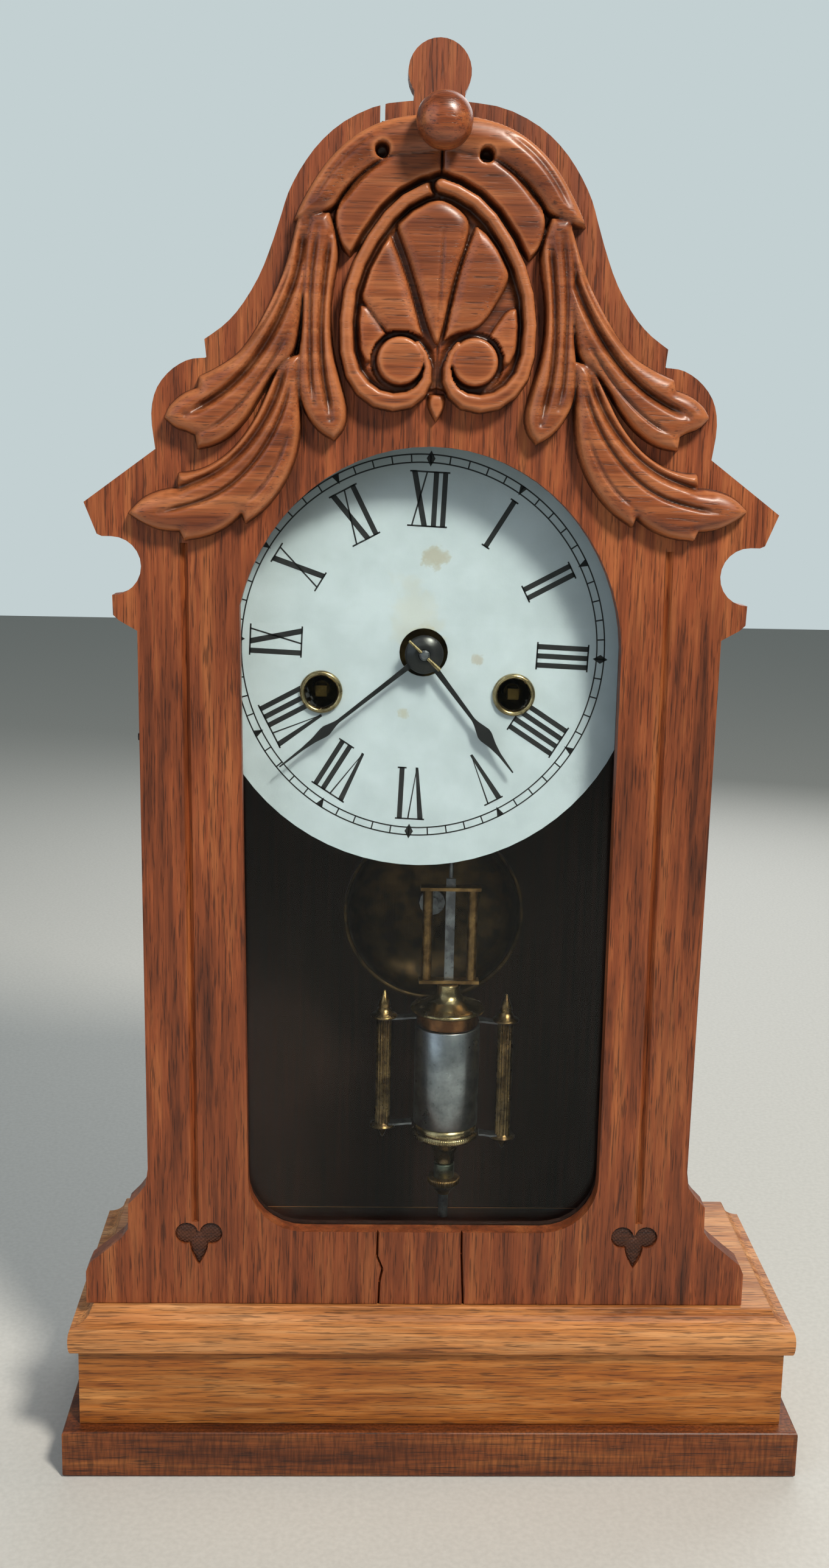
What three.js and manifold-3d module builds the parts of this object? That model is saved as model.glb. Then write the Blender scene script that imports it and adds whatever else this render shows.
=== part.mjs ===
// A carved walnut mantel clock with a swinging pendulum, an eight-day strike movement and a bell.
// Millimetres, +Z up. The origin is the centre of the plinth's underside and the dial faces -Y.
import * as THREE from 'three';
import { mergeVertices } from 'three/addons/utils/BufferGeometryUtils.js';
import Module from 'manifold-3d';

const wasm = await Module();
wasm.setup();

// ---- Driving dimensions ------------------------------------------------------------------
const GAP = 0.3;                    // space left between pieces that touch
const EDGE = 0.9;                   // worn rounding on the base's long edges

// Base: plinth, frieze and top moulding, all flush at the back
const PLINTH = { width: 265.8, depth: 97, height: 17.6 };
const FRIEZE = { width: 254.6, overhang: 5.6, top: 46.6, wall: 14 };
const MOULDING = { width: 261.2, overhang: 2.3, flatWidth: 245, top: 61.6 };

// Case and door. Inside the case group x is 0 on the case's centre line, y is the depth behind
// the door's front face, and z is 0 at the height of the dial's centre.
const CASE_X = -6.5;                // the case stands a little left of the base's middle
const DOOR_FACE_Y = -36.7;
const DIAL_HEIGHT = 234.9;          // dial centre above the base's flat top
const DOOR_THICK = 9;
const CASE = { half: 86, wall: 8, front: 9.5, back: 78, top: 88, bottom: -DIAL_HEIGHT + GAP };
const WINDOW = {
  archX: -0.7, archWidth: 64.8, archHeight: 69.5, bottom: -206.7, corner: 20,
  leftTop: -63.6, leftFoot: -60.7, rightTop: 64, rightFoot: 64.4,
};
const REBATE = { depth: 3, width: 3.6 };

// Dial and hands
const DIAL = { x: -2, radius: 75.6, face: 19, thick: 0.6, centreHole: 8.4 };
const CENTRE = { x: -1.6, z: 0 };   // the arbor that carries the hands
const TAPER_PIN = { reach: 5.3, drop: 4.9, depth: 10.2 };
const WINDING = { left: -36.8, right: 30, z: -14.2, hole: 6.1 };

// Movement
const FRONT_PLATE = 36;
const BACK_PLATE = 68;
const PLATE_THICK = 1.5;
const PLATES = { x: -3, halfWidth: 57, halfHeight: 58, pillarX: 50, pillarZ: 50 };
const PIVOT = { x: 10.7, z: 52 };   // the pendulum and the verge turn about this line
const ESCAPE = { x: PIVOT.x, z: 34, teeth: 40, radius: 12 };
const HAMMER = { x: -12, z: -50 };
const BELL = { x: 5.4, z: -102, radius: 33.7, mouth: 50, crown: 69, wall: 1.3 };

// Pendulum
const BOB_Y = 33;                   // depth of the bob's axis behind the door's face

// Door furniture
const HINGE = { x: 89.2, y: 11, heights: [-10, -170], half: 12, barrel: 1.8, pin: 0.9 };
const LATCH = { x: -90, y: 30, z: -30 };
const KNOB = { x: 0.2, z: 167.2, socket: 6.2 };

// ---- Finishes ------------------------------------------------------------------------------
const FINISHES = {
  walnut: [0x8a4f28, 0.45, 0],
  carvedWalnut: [0x7c4020, 0.4, 0],
  goldenMahogany: [0xb0723a, 0.5, 0],
  darkPlinth: [0x5e3720, 0.6, 0],
  caseWood: [0x3a2418, 0.75, 0],
  glass: [0xdfe8e6, 0.05, 0],
  paintedDial: [0xe6e8e4, 0.55, 0],
  brass: [0xb08d4a, 0.35, 1],
  agedBrass: [0x7d6236, 0.45, 1],
  steel: [0x8d8f92, 0.35, 1],
  blackedSteel: [0x101012, 0.3, 0.6],
  silvered: [0x9ba1a8, 0.3, 1],
};

// ---- Solids --------------------------------------------------------------------------------
const V2 = (x, y) => new THREE.Vector2(x, y);
const turn = (degrees) => THREE.MathUtils.degToRad(degrees);

function signedVolume(positions, index) {
  const [a, b, c] = [new THREE.Vector3(), new THREE.Vector3(), new THREE.Vector3()];
  let volume = 0;
  for (let i = 0; i < index.length; i += 3) {
    a.fromArray(positions, 3 * index[i]);
    b.fromArray(positions, 3 * index[i + 1]);
    c.fromArray(positions, 3 * index[i + 2]);
    volume += a.dot(b.cross(c)) / 6;
  }
  return volume;
}

// A closed geometry as a solid that can be joined and cut, with its faces pointing out.
function solid(geometry) {
  const bare = geometry.clone();
  bare.deleteAttribute('normal');
  bare.deleteAttribute('uv');
  const welded = mergeVertices(bare, 1e-4);
  const positions = welded.attributes.position.array;
  const index = welded.index.array;
  const outward = signedVolume(positions, index) > 0;
  const triVerts = [];
  for (let i = 0; i < index.length; i += 3) {
    const [a, b, c] = [index[i], index[i + 1], index[i + 2]];
    if (a === b || b === c || a === c) continue;
    triVerts.push(a, outward ? b : c, outward ? c : b);
  }
  return new wasm.Manifold(new wasm.Mesh({
    numProp: 3,
    vertProperties: Float32Array.from(positions),
    triVerts: Uint32Array.from(triVerts),
  }));
}

const join = (...pieces) => pieces.reduce((whole, piece) => whole.add(piece));
const cut = (body, ...tools) => tools.reduce((rest, tool) => rest.subtract(tool), body);

function geometryOf(body) {
  const { vertProperties, triVerts } = body.getMesh();
  const geometry = new THREE.BufferGeometry();
  geometry.setAttribute('position', new THREE.BufferAttribute(vertProperties, 3));
  geometry.setIndex(new THREE.BufferAttribute(triVerts, 1));
  geometry.computeVertexNormals();
  return geometry;
}

const clock = new THREE.Group();

function addPiece(group, name, body, finish) {
  const [color, roughness, metalness] = FINISHES[finish];
  const material = new THREE.MeshStandardMaterial({ color, roughness, metalness });
  if (finish === 'glass') Object.assign(material, { transparent: true, opacity: 0.25 });
  const mesh = new THREE.Mesh(geometryOf(body), material);
  mesh.name = name;
  group.add(mesh);
  return mesh;
}

// An outline drawn in x and z, thickened from one depth to another.
function slab(shape, front, back) {
  const settings = { depth: back - front, bevelEnabled: false, curveSegments: 14 };
  const geometry = new THREE.ExtrudeGeometry(shape, settings);
  geometry.rotateX(Math.PI / 2);
  geometry.translate(0, back, 0);
  return solid(geometry);
}

function block(x0, x1, y0, y1, z0, z1) {
  const geometry = new THREE.BoxGeometry(x1 - x0, y1 - y0, z1 - z0);
  geometry.translate((x0 + x1) / 2, (y0 + y1) / 2, (z0 + z1) / 2);
  return solid(geometry);
}

const profile = (pairs) => pairs.map(([radius, along]) => V2(radius, along));

// A profile of [radius, depth] pairs turned about a line that runs front to back.
function turnedInDepth(pairs, x, z, segments = 24) {
  const geometry = new THREE.LatheGeometry(profile(pairs), segments);
  geometry.translate(x, 0, z);
  return solid(geometry);
}

// A profile of [radius, height] pairs turned about an upright line.
function turnedUpright(pairs, x, y, segments = 24) {
  const geometry = new THREE.LatheGeometry(profile(pairs), segments);
  geometry.rotateX(Math.PI / 2);
  geometry.translate(x, y, 0);
  return solid(geometry);
}

const rod = (radius, front, back, x, z, segments = 16) =>
  turnedInDepth([[0, front], [radius, front], [radius, back], [0, back]], x, z, segments);

const post = (radius, bottom, top, x, y, segments = 16) =>
  turnedUpright([[0, bottom], [radius, bottom], [radius, top], [0, top]], x, y, segments);

// A straight round bar between two points.
function bar(from, to, radius, endRadius = radius, segments = 12) {
  const start = new THREE.Vector3(...from);
  const run = new THREE.Vector3(...to).sub(start);
  const geometry = new THREE.CylinderGeometry(endRadius, radius, run.length(), segments);
  geometry.translate(0, run.length() / 2, 0);
  const aim = new THREE.Quaternion().setFromUnitVectors(new THREE.Vector3(0, 1, 0), run.normalize());
  geometry.applyQuaternion(aim);
  geometry.translate(start.x, start.y, start.z);
  return solid(geometry);
}

// ---- Base ----------------------------------------------------------------------------------
// A flat rectangle with its long edges slightly rounded, from one height to another.
function easedBoard(width, frontY, backY, bottom, top) {
  const outline = new THREE.Shape([
    V2(-width / 2 + EDGE, frontY + EDGE), V2(width / 2 - EDGE, frontY + EDGE),
    V2(width / 2 - EDGE, backY - EDGE), V2(-width / 2 + EDGE, backY - EDGE),
  ]);
  const geometry = new THREE.ExtrudeGeometry(outline, {
    depth: top - bottom - 2 * EDGE, bevelThickness: EDGE, bevelSize: EDGE, bevelSegments: 3,
  });
  geometry.translate(0, 0, bottom + EDGE);
  return solid(geometry);
}

function friezeFrame() {
  const back = PLINTH.depth / 2;
  const front = -back + FRIEZE.overhang;
  const half = FRIEZE.width / 2;
  const bottom = PLINTH.height + GAP;
  const inner = half - FRIEZE.wall;
  return cut(
    block(-half, half, front, back, bottom, FRIEZE.top),
    block(-inner, inner, front + FRIEZE.wall, back - FRIEZE.wall, bottom - 1, FRIEZE.top + 1),
  );
}

// The moulding's edge, as [outward from the flat top's edge, height]: a fillet, a cove and a nose.
function mouldingEdge() {
  const reach = (MOULDING.width - MOULDING.flatWidth) / 2;
  const under = FRIEZE.top + GAP;
  const edge = [[0, MOULDING.top], [0.5, MOULDING.top - 0.4], [0.6, MOULDING.top - 1.3]];
  for (let i = 0; i <= 6; i += 1) {
    const angle = (i / 6) * Math.PI / 2;
    edge.push([1 + (reach - 1.8) * (1 - Math.cos(angle)), MOULDING.top - 1.5 - 4 * Math.sin(angle)]);
  }
  const noseTop = MOULDING.top - 6;
  const noseHigh = (noseTop - under) / 2;
  for (let i = 1; i <= 8; i += 1) {
    const angle = (i / 8) * Math.PI;
    const out = reach - 0.8 + 0.8 * Math.sin(angle);
    edge.push([out, noseTop - noseHigh * (1 - Math.cos(angle))]);
  }
  return edge;
}

function topMoulding() {
  const edge = mouldingEdge();
  const under = FRIEZE.top + GAP;
  const halfFlat = MOULDING.flatWidth / 2;
  const back = PLINTH.depth / 2 - 0.2;
  const flatFront = -PLINTH.depth / 2 + MOULDING.overhang + (MOULDING.width - MOULDING.flatWidth) / 2;
  // both side edges, run front to back
  const across = new THREE.Shape([
    ...edge.map(([out, height]) => V2(halfFlat + out, height)),
    ...edge.toReversed().map(([out, height]) => V2(-halfFlat - out, height)),
  ]);
  const sides = slab(across, -PLINTH.depth, PLINTH.depth);
  // the front edge, run from side to side
  const alongDepth = new THREE.Shape([
    ...edge.map(([out, height]) => V2(flatFront - out, height)),
    V2(back, under), V2(back, MOULDING.top),
  ]);
  const lengthwise = new THREE.ExtrudeGeometry(alongDepth, { depth: 2 * PLINTH.width, bevelEnabled: false });
  lengthwise.rotateX(Math.PI / 2);
  lengthwise.rotateZ(Math.PI / 2);
  lengthwise.translate(-PLINTH.width, 0, 0);
  return sides.intersect(solid(lengthwise));
}

function addBase() {
  const half = PLINTH.depth / 2;
  addPiece(clock, 'plinth', easedBoard(PLINTH.width, -half, half, 0, PLINTH.height), 'darkPlinth');
  addPiece(clock, 'frieze', friezeFrame(), 'goldenMahogany');
  addPiece(clock, 'top_moulding', topMoulding(), 'goldenMahogany');
}

// ---- Case ----------------------------------------------------------------------------------
const works = new THREE.Group();
works.position.set(CASE_X, DOOR_FACE_Y, MOULDING.top + DIAL_HEIGHT);
clock.add(works);

function addCase() {
  const { half, wall, front, back, top, bottom } = CASE;
  const inside = half - wall;
  const ceiling = top - wall;
  addPiece(works, 'case_side_left', block(-half, -inside, front, back, bottom, top), 'caseWood');
  addPiece(works, 'case_side_right', block(inside, half, front, back, bottom, top), 'caseWood');
  addPiece(works, 'case_top',
    block(-inside + GAP, inside - GAP, front, back, ceiling, top), 'caseWood');
  addPiece(works, 'back_board', block(-half, half, back + GAP, back + 5, bottom, top), 'caseWood');
  // upright rails that the dial is nailed to
  const railFront = DIAL.face + DIAL.thick + GAP;
  for (const [name, side] of [['dial_rail_left', -1], ['dial_rail_right', 1]]) {
    const near = side * (inside - GAP);
    const far = side * 67;
    const rail = block(Math.min(near, far), Math.max(near, far), railFront, railFront + 9, -52, 52);
    addPiece(works, name, rail, 'caseWood');
  }
}

// ---- Door ----------------------------------------------------------------------------------
// One side of the door's edge from the finial down, as [x, z].
const DOME = [[18.8, 174], [29.7, 169.3], [37.6, 163], [43.5, 155.5], [47.9, 147.5], [50.4, 140],
  [53.4, 131], [57.3, 121.5], [62.8, 112.5], [68.2, 106.5], [74.7, 101.8]];
const SHOULDER = [[80.1, 95.2], [86, 91.5], [90.4, 85.5], [91.9, 77.5], [90.7, 67]];
const FOOT = [[96.1, -183], [96.9, -189], [99.8, -193], [103.2, -196.5], [103.4, -206],
  [105.8, -209.5], [112.2, -215], [117.1, -219], [118.6, -222.5]];
const FINIAL = { x: -1, z: 184.2, radius: 9.9, neck: 8 };

function smooth(points, count) {
  return new THREE.SplineCurve(points.map(([x, z]) => V2(x, z))).getPoints(count);
}

function arcPoints(cx, cz, radius, fromDegrees, toDegrees, count) {
  const points = [];
  for (let i = 0; i <= count; i += 1) {
    const angle = turn(fromDegrees + (toDegrees - fromDegrees) * i / count);
    points.push(V2(cx + radius * Math.cos(angle), cz + radius * Math.sin(angle)));
  }
  return points;
}

function doorSide() {
  return [
    ...smooth([[6, 175.6], ...DOME], 26),
    V2(74.1, 96.2),
    ...smooth([[74.5, 96], ...SHOULDER], 14),
    V2(114.2, 49.6), V2(110.1, 39.4), V2(108.5, 38.7),
    ...arcPoints(105.4, 29.1, 9.6, 90, 270, 12),    // the notch above the side bracket
    V2(105.2, 13), V2(103.3, 11.2), V2(97.3, 7.8),
    ...FOOT.map(([x, z]) => V2(x, z)),
    V2(FOOT.at(-1)[0], -DIAL_HEIGHT + GAP),
  ];
}

function doorShape() {
  const right = doorSide();
  const left = right.toReversed().map((point) => V2(-point.x, point.y));
  return new THREE.Shape([...right, ...left]);
}

// The window's outline, grown by a margin all round: an arch, straight sides and round corners.
function windowShape(margin) {
  const { archX, leftTop, leftFoot, rightTop, rightFoot } = WINDOW;
  const bottom = WINDOW.bottom - margin;
  const corner = WINDOW.corner + margin;
  const [archWidth, archHeight] = [WINDOW.archWidth + margin, WINDOW.archHeight + margin];
  const from = Math.acos((rightTop + margin - archX) / archWidth);
  const to = Math.PI - Math.acos((archX - leftTop + margin) / archWidth);
  const points = [];
  for (let i = 0; i <= 30; i += 1) {
    const angle = from + (to - from) * i / 30;
    points.push(V2(archX + archWidth * Math.cos(angle), archHeight * Math.sin(angle)));
  }
  points.push(...arcPoints(leftFoot - margin + corner, bottom + corner, corner, 180, 270, 8));
  points.push(...arcPoints(rightFoot + margin - corner, bottom + corner, corner, 270, 360, 8));
  return new THREE.Shape(points);
}

// A shallow V cut along a line of [x, z] points on the door's face.
function grooves(points, halfWidth, depth) {
  const tools = [];
  for (let i = 1; i < points.length; i += 1) {
    const [x0, z0] = points[i - 1];
    const [x1, z1] = points[i];
    const length = Math.hypot(x1 - x0, z1 - z0);
    const wedge = new THREE.ExtrudeGeometry(
      new THREE.Shape([V2(-halfWidth, 0.2), V2(halfWidth, 0.2), V2(0, -depth)]),
      { depth: length, bevelEnabled: false },
    );
    wedge.rotateX(Math.PI);                       // the point of the V now faces +Y, the run -Z
    wedge.rotateY(-Math.atan2(x1 - x0, z0 - z1));
    wedge.translate(x0, 0, z0);
    tools.push(solid(wedge));
  }
  return tools;
}

function trefoil(x, z) {
  const leaf = new THREE.Shape();
  leaf.moveTo(x - 3.4, z - 2);
  leaf.quadraticCurveTo(x - 3.6, z - 7, x, z - 12);
  leaf.quadraticCurveTo(x + 3.6, z - 7, x + 3.4, z - 2);
  leaf.lineTo(x, z + 1);
  return join(
    rod(4.1, -1, 1.3, x - 4.3, z, 18), rod(4.1, -1, 1.3, x + 4.3, z, 18), slab(leaf, -1, 1.3),
  );
}

function doorBoard() {
  const tools = [
    slab(windowShape(0), -1, DOOR_THICK + 1),
    slab(windowShape(REBATE.width), DOOR_THICK - REBATE.depth, DOOR_THICK + 1),
    trefoil(-78.2, -207.5), trefoil(78.2, -208.3),
    block(-19.5, -17.9, -1, DOOR_THICK + 1, 167, 180),          // the slit in the dome
    ...grooves([[-81.8, 37], [-79.4, -203]], 1.5, 1.6),
    ...grooves([[78.6, 37], [79.6, -203]], 1.5, 1.6),
    ...grooves([[-14.2, -202], [-14.4, -216], [-12.4, -221], [-13.4, -226], [-13.8, -239]], 0.5, 2.2),
    ...grooves([[15.8, -202], [16, -215], [17.2, -239]], 0.5, 2.2),
  ];
  const finial = join(
    rod(FINIAL.radius, 0, DOOR_THICK, FINIAL.x, FINIAL.z, 30),
    block(FINIAL.x - FINIAL.neck, FINIAL.x + FINIAL.neck, 0, DOOR_THICK, 170, 178.4),
  );
  return cut(join(slab(doorShape(), 0, DOOR_THICK), finial), ...tools);
}

function retainerFrame() {
  const frame = windowShape(REBATE.width - GAP);
  frame.holes.push(new THREE.Path(windowShape(0.6).getPoints(14)));
  return slab(frame, DOOR_THICK - 0.4, DOOR_THICK + 2);
}

// ---- Carved ornament -------------------------------------------------------------------------
// Outlines of one side, as [x, z] round each leaf. The other side is their mirror image.
const ORNAMENT_BACK = -GAP;
const HOOD = [[0, 171], [10, 170.5], [20, 168.2], [28, 163.8], [35, 157.5], [40, 150.5],
  [44.5, 142.5], [46, 138.8], [42, 138.4], [36.5, 140.6], [33.5, 142.4], [32.2, 136], [30, 129],
  [24, 133], [17, 142], [8, 148.6], [0, 150.6]];
const TONGUE = [[37, 142], [41.5, 141.5], [43.4, 128], [42.8, 115], [43, 104], [44.8, 94],
  [44.5, 84.5], [41, 77.5], [37, 73], [33, 71.2], [29.6, 74.5], [28.6, 80], [31, 88],
  [34.2, 98], [35.2, 108], [34.6, 118], [32.2, 127]];
const UPPER_LEAF = [[41, 141], [44.4, 141], [48.8, 124.5], [53, 114.5], [58, 105], [63.4, 97.6],
  [70, 93], [76.4, 89.8], [78.6, 85.6], [84, 82], [87, 77], [83.6, 73.6], [79, 71.8], [76.6, 67.6],
  [72, 68.4], [66.4, 71.4], [60.6, 77.4], [56.4, 85], [52, 92], [44, 97], [42, 108], [41, 120]];
const LOWER_LEAF = [[44, 97], [52, 92], [54.6, 85.4], [58, 77.6], [63.4, 69.4], [69.4, 63.8],
  [76, 60.4], [83.4, 59.2], [85, 54.6], [91, 52.8], [96, 50.2], [99.3, 46.2], [95, 43.4],
  [89, 41], [81.6, 40.4], [80.4, 38.4], [74, 39.4], [67.6, 42.4], [62.4, 46.4], [60.2, 45],
  [56, 48], [50.6, 54], [46, 62.4], [43.6, 71.6], [44.4, 82]];
const RING = { outerX: 31.4, innerX: 27.4, widestZ: 108, apexOuter: 152, apexInner: 148.4 };
const VOLUTE = { x: 11.6, z: 96.6, disc: 7.7, outer: 12.8 };
const RIGHT_SPRAY_LIFT = 4.5;       // the right-hand leaves are set a few degrees higher
const SPRAY_HUB = [48, 95];

function leaf(points, side, depth, lift = 0) {
  const angle = turn(lift);
  const placed = points.map(([x, z]) => {
    const [dx, dz] = [x - SPRAY_HUB[0], z - SPRAY_HUB[1]];
    const along = SPRAY_HUB[0] + dx * Math.cos(angle) - dz * Math.sin(angle);
    return V2(side * along, SPRAY_HUB[1] + dx * Math.sin(angle) + dz * Math.cos(angle));
  });
  return slab(new THREE.Shape(placed), -depth, ORNAMENT_BACK);
}

// The pointed oval ring, from its apex down one side to the scroll at its foot.
function ringEdge(widest, apex, count) {
  const points = [];
  const foot = VOLUTE.z - VOLUTE.outer;
  for (let i = 0; i <= count; i += 1) {
    const t = i / count;
    const z = apex + (foot - apex) * t;
    const above = z > RING.widestZ;
    const end = above ? apex : foot;
    const run = (z - RING.widestZ) / (end - RING.widestZ);
    const drawnIn = (widest - VOLUTE.x) * run ** 3;
    points.push(V2(above ? widest * Math.pow(1 - run * run, 0.62) : widest - drawnIn, z));
  }
  return points;
}

function ringBand() {
  const mirrored = (edge) => edge.toReversed().slice(0, -1).map((point) => V2(-point.x, point.y));
  const outer = ringEdge(RING.outerX, RING.apexOuter, 12);
  const oval = new THREE.Shape([...outer, ...mirrored(outer)]);
  const inner = ringEdge(RING.innerX, RING.apexInner, 12);
  const hollow = new THREE.Shape([...inner, ...mirrored(inner)]);
  const scrolls = [-1, 1].map((side) =>
    rod(VOLUTE.outer - 1.6, -7, ORNAMENT_BACK, side * VOLUTE.x, VOLUTE.z, 26));
  return join(cut(slab(oval, -7, ORNAMENT_BACK), slab(hollow, -9, -3)), ...scrolls);
}

function carvedOrnament() {
  const pieces = [ringBand()];
  const hood = new THREE.Shape([
    ...HOOD.map(([x, z]) => V2(x, z)),
    ...HOOD.toReversed().map(([x, z]) => V2(-x, z)).slice(1, -1),
  ]);
  pieces.push(slab(hood, -8, ORNAMENT_BACK));
  for (const side of [-1, 1]) {
    const lift = side > 0 ? RIGHT_SPRAY_LIFT : 0;
    pieces.push(leaf(TONGUE, side, 7));
    pieces.push(leaf(UPPER_LEAF, side, 8.2, lift));
    pieces.push(leaf(LOWER_LEAF, side, 7.4, lift));
  }
  const drop = new THREE.Shape([V2(-3, 88), V2(3, 88), V2(2.4, 80), V2(0, 77), V2(-2.4, 80)]);
  pieces.push(slab(drop, -4, ORNAMENT_BACK));
  const eyes = [rod(2.2, -12, 1, -18.7, 159.6), rod(2.2, -12, 1, 14, 159)];
  return cut(join(...pieces), ...eyes);
}

function doorKnob() {
  // a mushroom knob on a short neck, turned about a line that runs front to back
  const stem = [[0, ORNAMENT_BACK], [5.4, ORNAMENT_BACK], [5.6, -1.6], [4.4, -3], [4.1, -6]];
  const head = [[6.2, -8.5], [8.2, -11], [8.9, -14], [8.3, -17], [6.3, -19.6], [3.3, -21.2], [0, -21.8]];
  return turnedInDepth([...stem, ...head], KNOB.x, KNOB.z, 20);
}

function addHinge(name, height) {
  const { x, y, half, barrel, pin } = HINGE;
  const third = half / 3;
  const bore = post(pin + 0.1, height - half - 1, height + half + 1, x, y);
  const casePlate = block(CASE.half + 0.2, CASE.half + 1.4, y, y + 13, height - half, height + half);
  const caseKnuckle = join(
    post(barrel, height - third, height + third, x, y),
    block(CASE.half + 0.2, x - 0.6, y - 0.2, y + 1.1, height - third, height + third),
  );
  addPiece(works, `${name}_case_leaf`, cut(join(casePlate, caseKnuckle), bore), 'agedBrass');
  const [leafFront, leafBack] = [DOOR_THICK + 0.2, DOOR_THICK + 1.3];
  const doorPlate = block(x + 1.9, x + 7.4, leafFront, leafBack, height - half, height + half);
  const ends = [[-half, -third - 0.3], [third + 0.3, half]].map(([low, high]) => join(
    post(barrel, height + low, height + high, x, y),
    block(x, x + 2.4, DOOR_THICK + 0.25, DOOR_THICK + 1.3, height + low, height + high),
  ));
  const leafBody = join(doorPlate, ...ends, post(pin, height - half, height + half, x, y));
  addPiece(works, `${name}_door_leaf`, leafBody, 'agedBrass');
}

function addLatch() {
  const { x, y, z } = LATCH;
  // pivot boss, straight arm, thumb nub that shows past the door's edge, and the end that drops in
  const hook = join(
    bar([x - 1.6, y, z], [x + 1.6, y, z], 2.4),
    bar([x, y, z], [x, 12.4, z], 1.1),
    bar([x, 13.4, z], [x - 9.2, 13.4, z], 1.3),
    bar([x, 13, z], [x, 13, z - 3.2], 0.9),
  );
  const pivotHole = bar([x - 4, y, z], [x + 4, y, z], 1.1);
  addPiece(works, 'latch_hook', cut(hook, pivotHole), 'blackedSteel');
  const screw = join(
    bar([-CASE.half - 0.2, y, z], [x - 2.4, y, z], 0.9),
    bar([x - 2, y, z], [x - 2.9, y, z], 1.7),
  );
  addPiece(works, 'latch_pivot', screw, 'agedBrass');
  const loop = cut(
    bar([x, 13, z - 6.2], [x, 13, z - 4.6], 3.2, 3.2, 18),
    bar([x, 13, z - 7], [x, 13, z - 4], 2.2, 2.2, 18),
  );
  const eye = join(
    bar([x, DOOR_THICK + 0.2, z - 5.4], [x, 10.6, z - 5.4], 0.8),
    bar([x, DOOR_THICK + 0.2, z - 5.4], [x, DOOR_THICK + 0.7, z - 5.4], 1.8),
    loop,
  );
  addPiece(works, 'latch_eye', eye, 'agedBrass');
}

function addDoor() {
  addPiece(works, 'door_board', doorBoard(), 'walnut');
  const knobSocket = rod(KNOB.socket, -12, 1, KNOB.x, KNOB.z, 24);
  addPiece(works, 'carved_ornament', cut(carvedOrnament(), knobSocket), 'carvedWalnut');
  addPiece(works, 'door_knob', doorKnob(), 'walnut');
  const glassBack = DOOR_THICK - 0.7;
  addPiece(works, 'window_glass', slab(windowShape(REBATE.width - GAP), glassBack - 2, glassBack), 'glass');
  addPiece(works, 'glass_retainer', retainerFrame(), 'caseWood');
  addHinge('upper_hinge', HINGE.heights[0]);
  addHinge('lower_hinge', HINGE.heights[1]);
  addLatch();
}

// ---- Dial and hands --------------------------------------------------------------------------
function hand(outline, degreesClockwise, depth, thick, bore) {
  const half = outline.map(([along, width]) => [along, width / 2]);
  const angle = turn(degreesClockwise);
  const place = (across, along) => V2(
    CENTRE.x + across * Math.cos(angle) + along * Math.sin(angle),
    CENTRE.z - across * Math.sin(angle) + along * Math.cos(angle),
  );
  const shape = new THREE.Shape([
    ...half.map(([along, width]) => place(width, along)),
    ...half.toReversed().map(([along, width]) => place(-width, along)),
  ]);
  const boss = rod(5.4, depth, depth + thick, CENTRE.x, CENTRE.z, 28);
  const blade = join(slab(shape, depth, depth + thick), boss);
  return cut(blade, rod(bore, depth - 1, depth + thick + 1, CENTRE.x, CENTRE.z, 20));
}

// A tapering bar through the centre arbor, in front of the washer.
function acrossCentre(radius, endRadius) {
  const { reach, drop, depth } = TAPER_PIN;
  const from = [CENTRE.x - reach, depth, CENTRE.z + drop];
  const to = [CENTRE.x + reach, depth, CENTRE.z - drop];
  return bar(from, to, radius, endRadius);
}

function addDial() {
  const { x, radius, face, thick, centreHole } = DIAL;
  const holes = [
    rod(centreHole, face - 1, face + 2, CENTRE.x, CENTRE.z, 24),
    rod(WINDING.hole, face - 1, face + 2, WINDING.left, WINDING.z, 20),
    rod(WINDING.hole, face - 1, face + 2, WINDING.right, WINDING.z, 20),
  ];
  addPiece(works, 'dial_plate', cut(rod(radius, face, face + thick, x, 0, 72), ...holes), 'paintedDial');
  for (const [name, holeX] of [['grommet_left', WINDING.left], ['grommet_right', WINDING.right]]) {
    // a rolled brass eyelet that stands on the dial's face and passes through its hole
    const ring = turnedInDepth([[5.4, face - 1.2], [6, face - 1.8], [7, face - 1.5], [7.45, face - 0.9],
      [7.45, face - GAP], [5.8, face - GAP], [5.8, face + 1.6], [5.4, face + 1.6], [5.4, face - 1.2]],
    holeX, WINDING.z, 20);
    addPiece(works, name, ring, 'brass');
  }
  const hourOutline = [[0, 2.4], [13, 1.8], [28.6, 1.3], [30.4, 2], [34.6, 4.9], [36.2, 4.8], [40, 2.6],
    [44, 1.2], [52, 0.5]];
  const minuteOutline = [[0, 2.2], [14, 1.6], [37.4, 1.2], [39, 1.7], [42.6, 3.6], [44, 3.5], [48, 1.9],
    [53, 1], [63.3, 0.5]];
  addPiece(works, 'hour_hand', hand(hourOutline, 142.2, 15.2, 0.8, 3.4), 'blackedSteel');
  addPiece(works, 'minute_hand', hand(minuteOutline, 231, 13.2, 0.8, 2.1), 'blackedSteel');
  const washer = turnedInDepth([
    [2.1, 12.9], [6.6, 12.9], [6.6, 12.4], [5.4, 11.6], [3.8, 11.1], [2.1, 10.9], [2.1, 12.9],
  ], CENTRE.x, CENTRE.z, 20);
  addPiece(works, 'hand_washer', washer, 'blackedSteel');
  addPiece(works, 'taper_pin', acrossCentre(0.45, 0.75), 'brass');
}

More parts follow.
